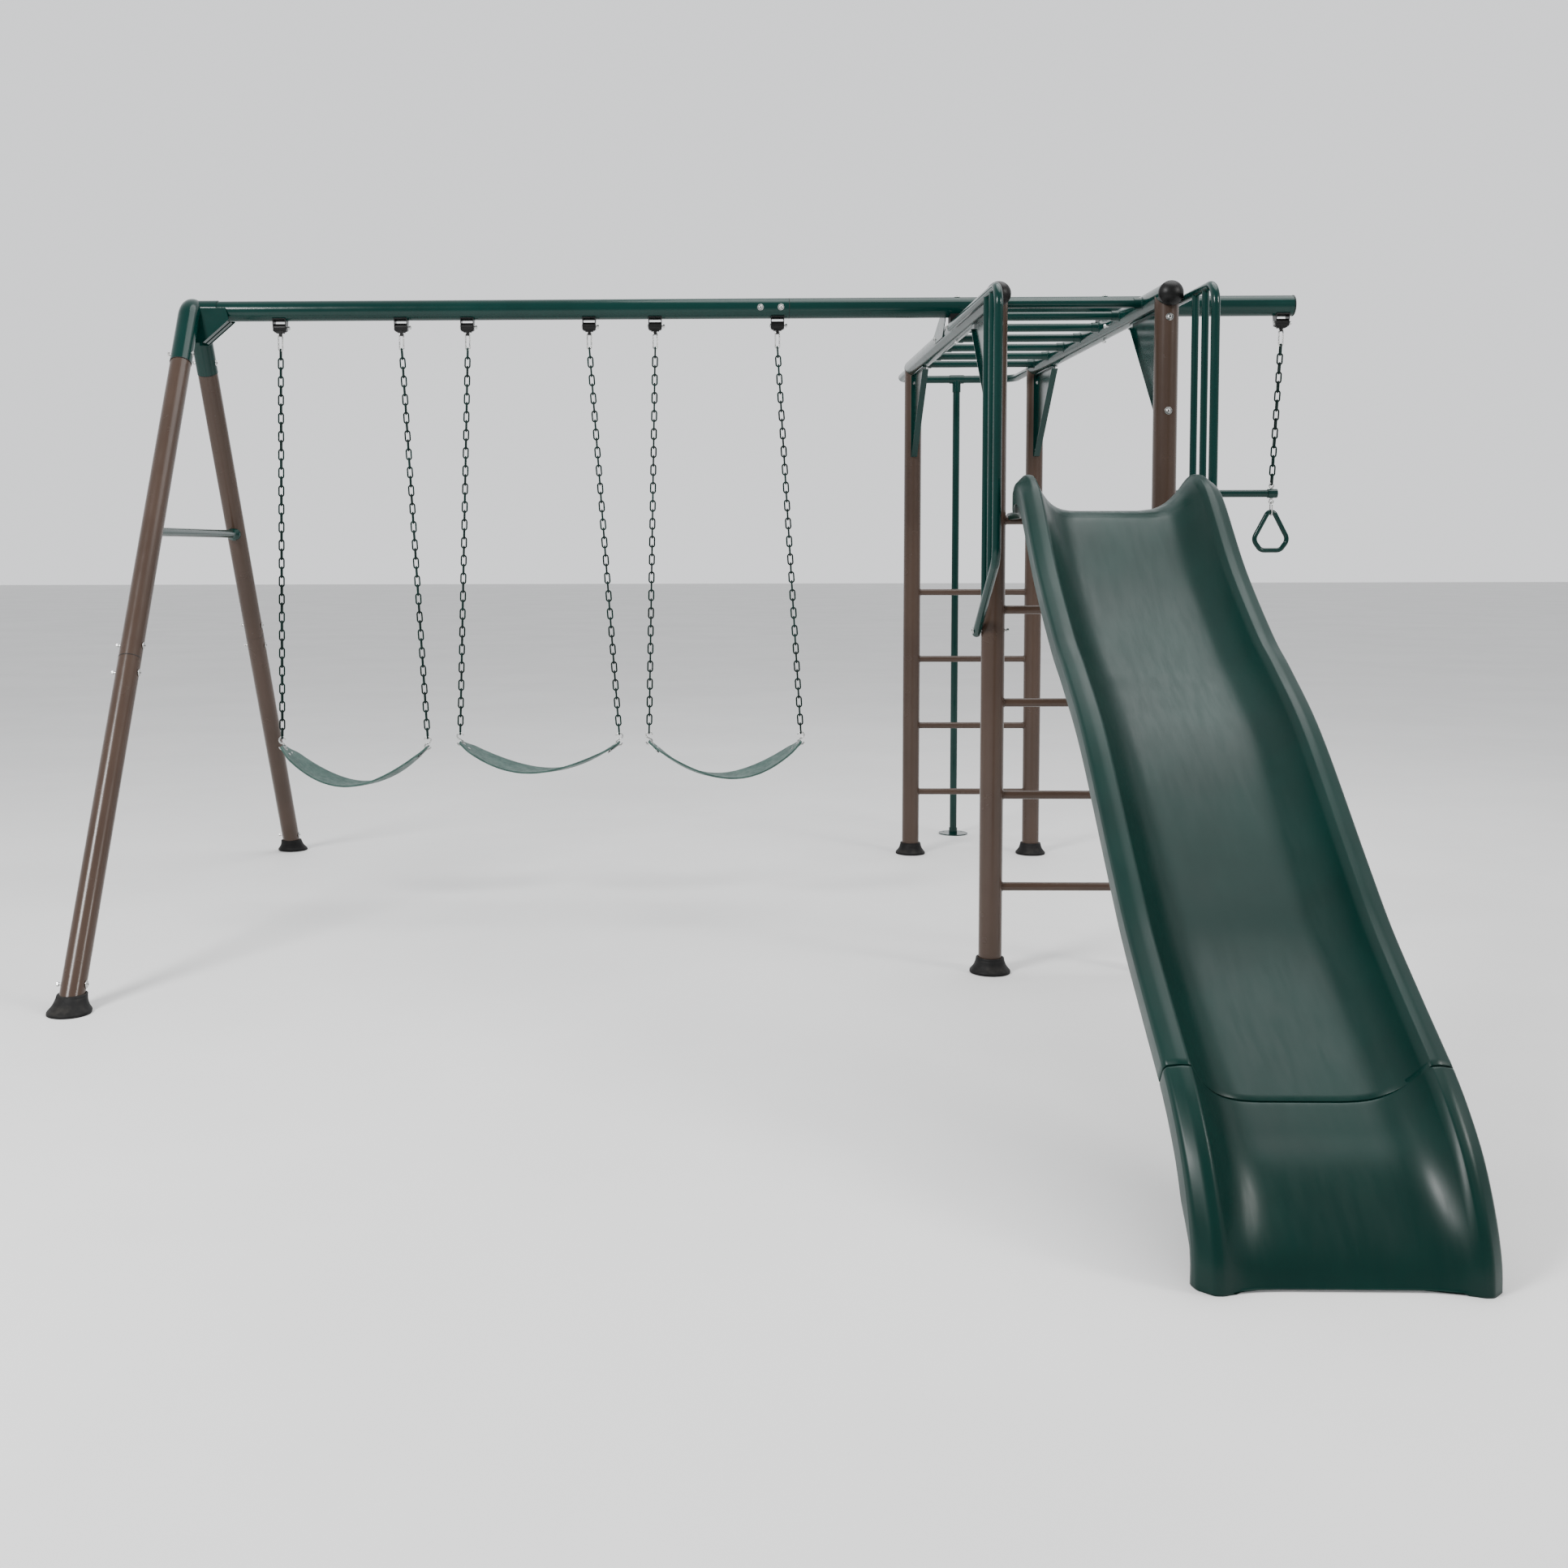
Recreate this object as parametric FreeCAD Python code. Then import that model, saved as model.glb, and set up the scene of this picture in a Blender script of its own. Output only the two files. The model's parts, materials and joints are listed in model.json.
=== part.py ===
import FreeCAD, Part
import math
import os

# Playground swing set: a round-tube frame with three belt swings and a trapeze on one
# cross beam, and a ladder tower with monkey bars, a fire pole and a wavy slide.
# Millimetres, +Z up.  While it is built, X runs along the beam from the tower's middle,
# and Y runs back from the tower's front posts.  The finished part is moved so that its
# origin is the middle of its footprint, on the ground.

V = FreeCAD.Vector
X_AXIS = V(1, 0, 0)
Y_AXIS = V(0, 1, 0)
Z_AXIS = V(0, 0, 1)

# --- driving dimensions -------------------------------------------------------------
TUBE_R = 38.0            # posts, legs, rails and beam are all 76 mm tube
WALL = 2.0
POST_X = 275.0           # half the distance between the two posts of a ladder
BAY = 2150.0             # front ladder to rear ladder
RAIL_Z = 2218.0          # centre of the two side rails
SEAT_GAP = 8.0           # saddle between rail and beam
BEAM_Z = RAIL_Z + 2 * TUBE_R + SEAT_GAP
BEAM_Y = 845.0
BEAM_RIGHT = 970.0
BEAM_SEAM = -902.0
RAIL_FRONT = -42.0
RAIL_REAR = BAY + 62.0

BOLT_R = 4.0
GUSSET_BOLTS = (2144.0, 1844.0)
LEG_BOLTS = (2126.0, 1082.0, 994.0, 78.0)

RUNG_R = 14.0
RUNG_STEP = 305.0
LADDER_FIRST = 287.0
LADDER_RUNGS = 4
SLIDE_BAR_Z = 1494.0
MONKEY_FIRST = 179.0
MONKEY_RUNGS = 7
MONKEY_R = 15.0

LEG_X = -3150.0          # plane of the end frame
LEG_SPREAD = 1375.0      # beam to foot, measured along the ground
LEG_TOP = 45.0           # the same at beam height
CROWN_Z = 2092.0         # where the crown's sockets end
LEG_SEAM_Z = 1040.0
BRACE_Z = 1468.0
BRACE_R = 16.0
BRACE_FLARE_R = 27.0
CROWN_BEND = 70.0
CROWN_SWELL = 1.6        # the crown's tube is this much larger than the legs in radius

BOOT_R = 67.0
BOOT_TOP_R = 46.0
BOOT_H = 50.0
BOOT_RIM = 8.0

HOOP_R = 18.0
HOOP_Y = 2682.0
HOOP_BEND = 110.0
POLE_R = 17.0
PLATE_R = 70.0

GRIP_X = POST_X + TUBE_R + 14.0
GRIP_R = 13.5
GRIP_BEND = 62.0
GRIP_BAR_R = 11.0
GRIP_Y = -350.0
GRIP_Z = 2203.0
GRIP_BACK = 660.0
GRIP_KNEE_Z = 1367.0
GRIP_FOOT = (13.0, 1123.0)
GRIP_BARS = (-245.0, -140.0)

PIVOT_DROP = 64.0        # beam centre to swing bolt
PIVOT_Z = BEAM_Z - PIVOT_DROP
PIN_R = 4.0
PIN_CLEAR = 0.05
EAR_X = 22.0             # half the gap between a hanger's ears
EAR_T = 3.0
HANG_HALF = 229.5        # half the distance between the two hangers of a swing
SWING_X = (-2591.0, -1882.0, -1175.0)
SEAT_SHIFT = 32.0        # the belts hang this far to the tower's side of their hangers
SEAT_SPAN = (562.0, 612.0, 581.0)
SEAT_END_Z = (652.0, 668.0, 672.0)
TRAPEZE_X = 701.0
TRAPEZE_Z = 1605.0
TRAPEZE_HALF = 205.0     # bar's middle to each chain
TRAPEZE_BAR_HALF = 214.0
TRAPEZE_R = 14.0
TRAPEZE_CAP_R = 17.0
EYE_DROP = 29.5          # bar's axis to the middle of each eye
EYE_R = 8.0
EYE_WIRE = 2.6
RING_TOP = 1544.0
RING_R = 9.0
RING_LINK_W = 12.0
BELT_LENGTH = 668.0
BELT_W = 140.0
BELT_T = 7.0
BELT_TIP = 34.0          # half width of the belt's ends
EYE_IN = 14.0            # belt end to the hole that the S-hook passes through
EYE_HOLE_R = 7.5
EYE_T = 3.0
EYE_PLATE_LENGTH = 53.0
EYE_PLATE_HALF_W = 34.0
EYE_PLATE_TIP_HALF_W = 16.0
EYE_PLATE_INSET = 5.0    # belt end to the plate's tip
RIVET_R = 3.0
RIVET_HEAD_R = 5.5
RIVET_Y = 20.0

LINK_WIRE = 3.0
LINK_PITCH = 34.5
LINK_HALF_W = 9.0        # link's middle to its wire's centre
LINK_GAP = 0.3
HOOK_WIRE = 2.75
HOOK_HALF_W = 7.5
HOOK_LENGTH = 62.0
HOOK_DROP = 22.0         # swing bolt to the snap hook's top wire
S_R = 12.0
S_WIRE = 3.0

SLIDE_T = 7.0             # thickness of the moulded shell
SLIDE_W = 292.0          # half width
SLIDE_LIP = -2376.0
SLIDE_LIP_RIM = 20.0
SLIDE_DECK_Z = SLIDE_BAR_Z + RUNG_R + SLIDE_T + 0.5
SLIDE_BOLT_X = 95.0

# floor line of the slide's upper section:
# y, z, slope in degrees, rim height, half width
UPPER = (
    (34.0, SLIDE_DECK_Z, 0.0, 14.0, 231.0),
    (-150.0, SLIDE_DECK_Z, 0.0, 20.0, 231.0),
    (-290.0, SLIDE_DECK_Z, 0.0, 38.0, 246.0),
    (-366.0, SLIDE_DECK_Z, 0.0, 76.0, 276.0),
    (-430.0, 1513.0, 6.0, 106.0, SLIDE_W),
    (-482.0, 1499.0, 26.0, 108.0, SLIDE_W),
    (-541.0, 1456.0, 41.0, 106.0, SLIDE_W),
    (-736.0, 1269.0, 39.5, 106.0, SLIDE_W),
    (-980.0, 1090.0, 31.5, 106.0, SLIDE_W),
    (-1121.0, 1009.0, 30.0, 106.0, SLIDE_W),
    (-1332.0, 873.0, 37.0, 106.0, SLIDE_W),
    (-1627.0, 616.0, 42.0, 106.0, SLIDE_W),
    (-1769.0, 496.0, 38.5, 106.0, SLIDE_W),
    (-1927.0, 385.0, 33.0, 106.0, SLIDE_W),
    (-2083.0, 283.0, 35.0, 104.0, SLIDE_W),
)
# the same for the lower section, with the drop of the rim's outer corner added
LOWER = (
    (-2086.0, 281.0, 35.0, 104.0, 10.0),
    (-2155.0, 234.0, 36.0, 98.0, 13.0),
    (-2235.0, 178.0, 44.0, 80.0, 18.0),
    (-2305.0, 112.0, 58.0, 56.0, 24.0),
    (-2354.0, 52.0, 74.0, 34.0, 30.0),
    (SLIDE_LIP, 0.0, 90.0, SLIDE_LIP_RIM, 36.0),
)

# pieces that the frame's bolts pass through
BOLTED = (
    "post_front_left", "post_front_right", "post_rear_left", "post_rear_right", "rail_left",
    "rail_right", "post_gussets", "beam_saddles", "beam_gussets", "hand_rail_left",
    "hand_rail_right", "beam_left", "beam_right", "end_crown", "leg_upper_front",
    "leg_upper_rear", "leg_lower_front", "leg_lower_rear", "slide_bar", "slide_upper",
)

# the finished part's origin, in the building frame
ORIGIN_X = ((LEG_X - BOOT_R) + (BEAM_RIGHT + 6.0)) / 2
ORIGIN_Y = ((SLIDE_LIP - SLIDE_LIP_RIM) + (HOOP_Y + PLATE_R)) / 2


# --- basic solids -------------------------------------------------------------------
def rod(p, q, r):
    return Part.makeCylinder(r, (q - p).Length, p, q - p)


def tube(p, q, r, wall=WALL):
    return rod(p, q, r).cut(rod(p, q, r - wall))


def rounded_path(points, radius):
    """Straight runs through the points, joined by tangent arcs."""
    edges = []
    start = points[0]
    for before, corner, after in zip(points, points[1:], points[2:]):
        a = (before - corner).normalize()
        b = (after - corner).normalize()
        half = a.getAngle(b) / 2
        reach = radius / math.tan(half)
        first = corner + a * reach
        last = corner + b * reach
        middle = corner + (a + b).normalize() * (radius / math.sin(half) - radius)
        edges.append(Part.LineSegment(start, first).toShape())
        edges.append(Part.Arc(first, middle, last).toShape())
        start = last
    edges.append(Part.LineSegment(start, points[-1]).toShape())
    return Part.Wire(edges)


def sweep(path, r):
    """A solid round bar along a wire."""
    first = path.OrderedEdges[0]
    start = first.valueAt(first.FirstParameter)
    heading = first.tangentAt(first.FirstParameter)
    profile = Part.Wire([Part.makeCircle(r, start, heading)])
    return path.makePipeShell([profile], True, False)


def spigot(p, direction, length=90.0):
    """Reduced neck on a tube's end that slides into the next tube; p is the tube's end."""
    d = V(direction).normalize()
    neck = tube(p - d * 6, p + d * length, TUBE_R - WALL - 0.2)
    ring = tube(p - d * 6, p, TUBE_R, 2 * WALL)
    return neck.fuse(ring)


def bent_tube(points, radius, r, wall=WALL):
    path = rounded_path(points, radius)
    return sweep(path, r).cut(sweep(path, r - wall))


def plate(points, thickness):
    """A flat plate from its corner points, thickened along a vector."""
    return Part.Face(Part.makePolygon(points + [points[0]])).extrude(thickness)


def group(*shapes):
    """Separate solids that share one node."""
    solids = []
    for shape in shapes:
        solids += shape.Solids
    return Part.makeCompound(solids)


def mirror_x(shape):
    return shape.mirror(V(0, 0, 0), X_AXIS)


def pair(shape):
    return [shape, mirror_x(shape)]


def moved(shape, offset):
    copy = shape.copy()
    copy.translate(offset)
    return copy


def placed(shape, placement):
    copy = shape.copy()
    copy.Placement = placement.multiply(copy.Placement)
    return copy


def bolt(p, direction, length, r):
    """Domed-head bolt: p is under the head, direction points to the nut."""
    d = V(direction).normalize()
    shank = rod(p, p + d * length, r)
    head = rod(p - d * 2.2, p, r * 2.1)
    dome = Part.makeSphere(r * 2.4, p + d * (r * 1.2)).common(rod(p - d * 6.0, p - d * 2.2, r * 1.9))
    nut_at = p + d * (length - 7.0)
    corners = []
    side = d.cross(Z_AXIS if abs(d.z) < 0.9 else X_AXIS).normalize()
    for k in range(6):
        turn = FreeCAD.Rotation(d, 60.0 * k)
        corners.append(nut_at + turn.multVec(side) * (r * 1.9))
    nut = plate(corners, d * 6.0)
    return shank.fuse([head, dome, nut]).removeSplitter()


# --- ladder tower -------------------------------------------------------------------
def post(x, y):
    body = tube(V(x, y, 7), V(x, y, RAIL_Z), TUBE_R)
    rail = rod(V(x, y - 60, RAIL_Z), V(x, y + 60, RAIL_Z), TUBE_R + 0.2)
    return body.cut(rail)


def flared_boot(foot, top, socket_z):
    """Rubber boot: a round foot and a skirt that narrows towards the tube's axis."""
    base = Part.makeCylinder(BOOT_R, BOOT_RIM, V(foot.x, foot.y, 0))
    low = Part.Wire([Part.makeCircle(BOOT_R - 3, V(foot.x, foot.y, BOOT_RIM))])
    high = Part.Wire([Part.makeCircle(BOOT_TOP_R, top)])
    skirt = Part.makeLoft([low, high], True, True)
    axis = top - foot
    start = foot + axis * ((socket_z - foot.z) / axis.z)
    return base.fuse(skirt).cut(rod(start, start + axis * 3, TUBE_R + 0.3)).removeSplitter()


def post_boot(x, y):
    return flared_boot(V(x, y, 0), V(x, y, BOOT_H), 7)


def rungs(y, heights):
    bars = []
    for z in heights:
        bar = tube(V(-POST_X, y, z), V(POST_X, y, z), RUNG_R)
        posts = [rod(V(s * POST_X, y, z - 60), V(s * POST_X, y, z + 60), TUBE_R + 0.1) for s in (-1, 1)]
        bars.append(bar.cut(posts))
    return Part.makeCompound(bars)


def ladder_heights():
    return [LADDER_FIRST + RUNG_STEP * k for k in range(LADDER_RUNGS)]


def rail(x):
    body = tube(V(x, RAIL_FRONT, RAIL_Z), V(x, RAIL_REAR - 40, RAIL_Z), TUBE_R)
    neck = Part.makeCone(TUBE_R, HOOP_R + 3, 40, V(x, RAIL_REAR - 40, RAIL_Z), Y_AXIS)
    hollow = Part.makeCone(TUBE_R - WALL, HOOP_R + 0.2, 40, V(x, RAIL_REAR - 40, RAIL_Z), Y_AXIS)
    return body.fuse(neck.cut(hollow)).removeSplitter()


def rail_cap(x):
    """Domed plug on the front end of a rail."""
    rim = Part.makeCylinder(TUBE_R + 1.5, 10, V(x, RAIL_FRONT, RAIL_Z), V(0, -1, 0))
    ball = Part.makeSphere(TUBE_R + 7, V(x, RAIL_FRONT + 10, RAIL_Z))
    dome = ball.common(Part.makeCylinder(TUBE_R + 1.5, 60, V(x, RAIL_FRONT - 10, RAIL_Z), V(0, -1, 0)))
    plug = Part.makeCylinder(TUBE_R - WALL - 0.3, 22, V(x, RAIL_FRONT, RAIL_Z), Y_AXIS)
    return rim.fuse([dome, plug]).removeSplitter()


def monkey_bars():
    bars = []
    for k in range(MONKEY_RUNGS):
        y = MONKEY_FIRST + RUNG_STEP * k
        inner = POST_X - TUBE_R + 2
        bar = tube(V(-inner, y, RAIL_Z), V(inner, y, RAIL_Z), MONKEY_R)
        collars = [tube(V(s * (inner - 26), y, RAIL_Z), V(s * inner, y, RAIL_Z), MONKEY_R + 3, 3)
                   for s in (-1, 1)]
        rails = [rod(V(s * POST_X, y - 40, RAIL_Z), V(s * POST_X, y + 40, RAIL_Z), TUBE_R + 0.1)
                 for s in (-1, 1)]
        bars.append(bar.fuse(collars).removeSplitter().cut(rails))
    return Part.makeCompound(bars)


def post_gusset(y):
    """Folded sheet between a post and its rail: a tapering web with a flange on each edge."""
    into = 1.0 if y == 0 else -1.0
    near = y + into * (TUBE_R + 0.4)
    far = y + into * 425.0
    top = RAIL_Z - TUBE_R - 0.4
    foot = 1815.0
    half = 13.0
    toe = near + into * 17
    web = plate([V(POST_X - 1.5, near, foot), V(POST_X - 1.5, near, top), V(POST_X - 1.5, far, top),
                 V(POST_X - 1.5, far, top - 12), V(POST_X - 1.5, toe, foot)], V(3, 0, 0))
    back = plate([V(POST_X - half, near, foot), V(POST_X + half, near, foot),
                  V(POST_X + half, near, top), V(POST_X - half, near, top)], V(0, into * 3, 0))
    lid = plate([V(POST_X - half, near, top), V(POST_X + half, near, top),
                 V(POST_X + half, far, top), V(POST_X - half, far, top)], V(0, 0, -3))
    edge_a = V(POST_X, far, top - 12)
    edge_b = V(POST_X, toe, foot)
    lean = plate([edge_a - V(half, 0, 0), edge_a + V(half, 0, 0), edge_b + V(half, 0, 0),
                  edge_b - V(half, 0, 0)], V(0, into * -3, 0))
    return web.fuse([back, lid, lean]).removeSplitter()


def beam_saddle(x):
    """Shaped seat that keeps the beam on a rail."""
    low = RAIL_Z + TUBE_R - 14
    high = BEAM_Z - TUBE_R + 14
    block = Part.makeBox(56, 56, high - low, V(x - 28, BEAM_Y - 28, low))
    across = rod(V(x - 60, BEAM_Y, BEAM_Z), V(x + 60, BEAM_Y, BEAM_Z), TUBE_R + 0.1)
    along = rod(V(x, BEAM_Y - 60, RAIL_Z), V(x, BEAM_Y + 60, RAIL_Z), TUBE_R + 0.1)
    return block.cut([across, along])


def beam_gusset():
    """Corner plate from the beam's rear side back and down to the rail's outer side."""
    x = POST_X + TUBE_R + 0.4
    body = plate([V(x, BEAM_Y + 20, BEAM_Z + 26), V(x, BEAM_Y + 44, BEAM_Z + 22),
                  V(x, BEAM_Y + 330, RAIL_Z + 14), V(x, BEAM_Y + 330, RAIL_Z - 14),
                  V(x, BEAM_Y + 90, RAIL_Z - 14), V(x, BEAM_Y + 20, RAIL_Z + 40)], V(3, 0, 0))
    beam = rod(V(x - 5, BEAM_Y, BEAM_Z), V(x + 60, BEAM_Y, BEAM_Z), TUBE_R + 0.1)
    foot = plate([V(x, BEAM_Y + 38.3, BEAM_Z - 22), V(x + 40, BEAM_Y + 38.3, BEAM_Z - 22),
                  V(x + 40, BEAM_Y + 38.3, BEAM_Z + 22), V(x, BEAM_Y + 38.3, BEAM_Z + 22)], V(0, 3, 0))
    return body.fuse(foot).removeSplitter().cut(beam)


def hoop():
    start = RAIL_REAR - 30
    return bent_tube([V(-POST_X, start, RAIL_Z), V(-POST_X, HOOP_Y, RAIL_Z),
                      V(POST_X, HOOP_Y, RAIL_Z), V(POST_X, start, RAIL_Z)], HOOP_BEND, HOOP_R)


def pole():
    return tube(V(0, HOOP_Y, 5.2), V(0, HOOP_Y, RAIL_Z - HOOP_R - 3.6), POLE_R)


def pole_tee():
    """Two-part collar that clamps the pole under the hoop."""
    sleeve = tube(V(-34, HOOP_Y, RAIL_Z), V(34, HOOP_Y, RAIL_Z), HOOP_R + 3.2, 3)
    stub = tube(V(0, HOOP_Y, RAIL_Z - 62), V(0, HOOP_Y, RAIL_Z - 8), POLE_R + 3.2, 3)
    bore = rod(V(-40, HOOP_Y, RAIL_Z), V(40, HOOP_Y, RAIL_Z), HOOP_R + 0.2)
    return sleeve.fuse(stub).removeSplitter().cut(bore)


def pole_plate():
    disc = Part.makeCylinder(PLATE_R, 5, V(0, HOOP_Y, 0))
    ring = tube(V(0, HOOP_Y, 5), V(0, HOOP_Y, 30), POLE_R + 3.2, 3)
    holes = []
    for k in range(3):
        angle = math.radians(120 * k + 30)
        at = V(50 * math.cos(angle), HOOP_Y + 50 * math.sin(angle), -1)
        holes.append(Part.makeCylinder(5, 8, at))
    return disc.fuse(ring).removeSplitter().cut(holes)


def hand_rail():
    """Hand rail beside the slide: back along the side rail, over, down and in to the post,
    with two upright bars welded in."""
    foot_y, foot_z = GRIP_FOOT
    path = rounded_path([V(GRIP_X, GRIP_BACK, GRIP_Z), V(GRIP_X, GRIP_Y, GRIP_Z),
                         V(GRIP_X, GRIP_Y, GRIP_KNEE_Z), V(GRIP_X, foot_y, foot_z)], GRIP_BEND)
    slope = (foot_z - GRIP_KNEE_Z) / (foot_y - GRIP_Y)
    bars = []
    for y in GRIP_BARS:
        low = GRIP_KNEE_Z + slope * (y - GRIP_Y)
        bars.append(tube(V(GRIP_X, y, low), V(GRIP_X, y, GRIP_Z), GRIP_BAR_R))
    inside = sweep(path, GRIP_R - WALL)
    return sweep(path, GRIP_R).fuse(bars).cut(inside)


# --- beam and end frame -------------------------------------------------------------
def beam_left():
    body = tube(V(LEG_X + TUBE_R - 6, BEAM_Y, BEAM_Z), V(BEAM_SEAM - 0.4, BEAM_Y, BEAM_Z), TUBE_R)
    return body.cut(sweep(crown_path(), TUBE_R + CROWN_SWELL + 0.1))


def beam_right():
    start = V(BEAM_SEAM, BEAM_Y, BEAM_Z)
    main = tube(start, V(BEAM_RIGHT, BEAM_Y, BEAM_Z), TUBE_R)
    return main.fuse(spigot(start, V(-1, 0, 0), 150)).removeSplitter()


def beam_end_cap():
    lid = Part.makeCylinder(TUBE_R + 0.8, 3, V(BEAM_RIGHT, BEAM_Y, BEAM_Z), X_AXIS)
    crown = Part.makeSphere(240, V(BEAM_RIGHT - 234, BEAM_Y, BEAM_Z))
    dome = crown.common(Part.makeCylinder(TUBE_R + 0.8, 8, V(BEAM_RIGHT + 3, BEAM_Y, BEAM_Z), X_AXIS))
    plug = Part.makeCylinder(TUBE_R - WALL - 0.3, 20, V(BEAM_RIGHT - 20, BEAM_Y, BEAM_Z), X_AXIS)
    return lid.fuse([dome, plug]).removeSplitter()


def leg_slope():
    return (LEG_SPREAD - LEG_TOP) / BEAM_Z


def leg_point(side, z):
    """Point on a leg's axis; side is -1 for the front leg and 1 for the rear one."""
    return V(LEG_X, BEAM_Y + side * (LEG_SPREAD - leg_slope() * z), z)


def crown_path():
    apex = V(LEG_X, BEAM_Y, LEG_SPREAD / leg_slope())
    return rounded_path([leg_point(-1, CROWN_Z), apex, leg_point(1, CROWN_Z)], CROWN_BEND)


def crown():
    """Bent tube that joins both legs, with a socket for the beam welded to its side."""
    socket = tube(V(LEG_X + 20, BEAM_Y, BEAM_Z), V(LEG_X + 96, BEAM_Y, BEAM_Z), TUBE_R + 3.2, 3)
    inside = sweep(crown_path(), TUBE_R - WALL)
    return sweep(crown_path(), TUBE_R + CROWN_SWELL).fuse(socket).cut(inside)


def crown_gussets():
    """Two side plates from the beam down to each leg of the crown."""
    plates = []
    for side in (-1, 1):
        y = BEAM_Y + side * (TUBE_R + 3.6)
        x = LEG_X + TUBE_R
        sheet = plate([V(x - 30, y, BEAM_Z + 8), V(x + 96, y, BEAM_Z + 8), V(x + 108, y, BEAM_Z - 36),
                       V(x + 8, y, BEAM_Z - 122), V(x - 30, y, BEAM_Z - 122)], V(0, side * 3, 0))
        web = plate([V(x + 100, y, BEAM_Z - 40), V(x + 8, y, BEAM_Z - 119), V(x + 8, y, BEAM_Z - 116),
                     V(x + 100, y, BEAM_Z - 37)], V(0, -side * 34, 0))
        plates.append(sheet.fuse(web).removeSplitter().cut(sweep(crown_path(), TUBE_R + CROWN_SWELL + 0.1)))
    return Part.makeCompound(plates)


def leg_upper(side):
    top = leg_point(side, CROWN_Z - 1)
    body = tube(leg_point(side, LEG_SEAM_Z), top, TUBE_R)
    return body.fuse(spigot(top, leg_point(side, CROWN_Z) - leg_point(side, 0))).removeSplitter()


def leg_lower(side):
    top = leg_point(side, LEG_SEAM_Z - 1)
    body = tube(leg_point(side, 14), top, TUBE_R)
    return body.fuse(spigot(top, leg_point(side, CROWN_Z) - leg_point(side, 0))).removeSplitter()


def leg_boot(side):
    return flared_boot(leg_point(side, 0), leg_point(side, BOOT_H + 4), 14)


def boots():
    return [post_boot(s * POST_X, y) for s in (-1, 1) for y in (0, BAY)] + [leg_boot(-1), leg_boot(1)]


def leg_brace():
    """Cross bar with an end that flares against each leg."""
    front = leg_point(-1, BRACE_Z)
    rear = leg_point(1, BRACE_Z)
    flares = []
    for p, inward in ((front, Y_AXIS), (rear, -Y_AXIS)):
        flares.append(rod(p, p + inward * 48, BRACE_FLARE_R))
        flares.append(Part.makeCone(BRACE_FLARE_R, BRACE_R, 20, p + inward * 48, inward))
    legs = [rod(leg_point(s, BRACE_Z - 200), leg_point(s, BRACE_Z + 200), TUBE_R + 0.2) for s in (-1, 1)]
    inside = rod(front, rear, BRACE_R - WALL)
    return rod(front, rear, BRACE_R).fuse(flares).removeSplitter().cut(legs + [inside])


# --- slide --------------------------------------------------------------------------
def slide_section(y, z, slope, rim, half, drop=10.0):
    """One closed cross-section of the chute, square to its floor line."""
    angle = math.radians(slope)
    up = V(0, -math.sin(angle), math.cos(angle))
    base = V(0, y, z)

    def at(x, n):
        return base + V(x, 0, 0) + up * n

    ridge = half - 52
    wall = half - 68
    foot = half - 122
    skirt = min(max(rim - drop - 52, -SLIDE_T), rim - drop - 20)
    outline = [
        (foot, 0), (foot + 30, rim * 0.10), (wall, rim * 0.48),
        (ridge - 4, rim - 5), (ridge + 3, rim), (ridge + 12, rim),
        (half - 8, rim - drop * 0.6), (half, rim - drop - 8), (half, skirt),
        (half - SLIDE_T, skirt), (half - SLIDE_T - 2, max(rim - drop - 18, skirt + 2)),
        (ridge + 6, rim - 14), (wall + 7, rim * 0.48 - 4),
        (foot + 34, rim * 0.1 - SLIDE_T - 1), (foot, -SLIDE_T),
    ]
    right = [at(x, n) for x, n in outline]
    left = [at(-x, n) for x, n in reversed(outline)]
    loop = right + left
    return Part.makePolygon(loop + [loop[0]])


def slide_upper():
    body = Part.makeLoft([slide_section(*s) for s in UPPER], True, True)
    bar = rod(V(-POST_X, 0, SLIDE_BAR_Z), V(POST_X, 0, SLIDE_BAR_Z), RUNG_R + 0.3)
    return body.cut(bar)


def slide_lower():
    sections = [slide_section(y, z, slope, rim, SLIDE_W, drop) for y, z, slope, rim, drop in LOWER]
    body = Part.makeLoft(sections, True, False)
    arch = Part.makeBox(2 * (SLIDE_W - 92), 400, 10, V(-(SLIDE_W - 92), SLIDE_LIP - 100, -1))
    return body.cut(arch)


# --- fasteners of the frame ---------------------------------------------------------
def bolt_places():
    """Each frame bolt: the point under its head, its direction and its length."""
    places = []
    through = 2 * TUBE_R + 14
    for s in (-1, 1):
        x = s * POST_X
        for y, into in ((0, 1), (BAY, -1)):
            for z in GUSSET_BOLTS:
                places.append((V(x, y - into * TUBE_R, z), V(0, into, 0), through))
        places.append((V(x, BEAM_Y, BEAM_Z + TUBE_R), V(0, 0, -1), 4 * TUBE_R + SEAT_GAP + 12))
        places.append((V(x + s * (TUBE_R + 3.4), BEAM_Y + 290, RAIL_Z), V(-s, 0, 0), through + 2))
        grip = s * (GRIP_X + GRIP_R)
        places.append((V(grip, GRIP_FOOT[0] - 18, GRIP_FOOT[1] + 12), V(-s, 0, 0), through + 2 * GRIP_R))
        places.append((V(grip, GRIP_BACK - 20, GRIP_Z), V(-s, 0, 0), through + 2 * GRIP_R))
        places.append((V(s * SLIDE_BOLT_X, 0, SLIDE_DECK_Z), V(0, 0, -1), 56))
        for z in LEG_BOLTS:
            places.append((leg_point(s, z) + V(TUBE_R + CROWN_SWELL, 0, 0), V(-1, 0, 0), through + 3))
    for dx in (-108.0, -32.0):
        places.append((V(BEAM_SEAM + dx, BEAM_Y - TUBE_R, BEAM_Z), V(0, 1, 0), through))
    return places


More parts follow.
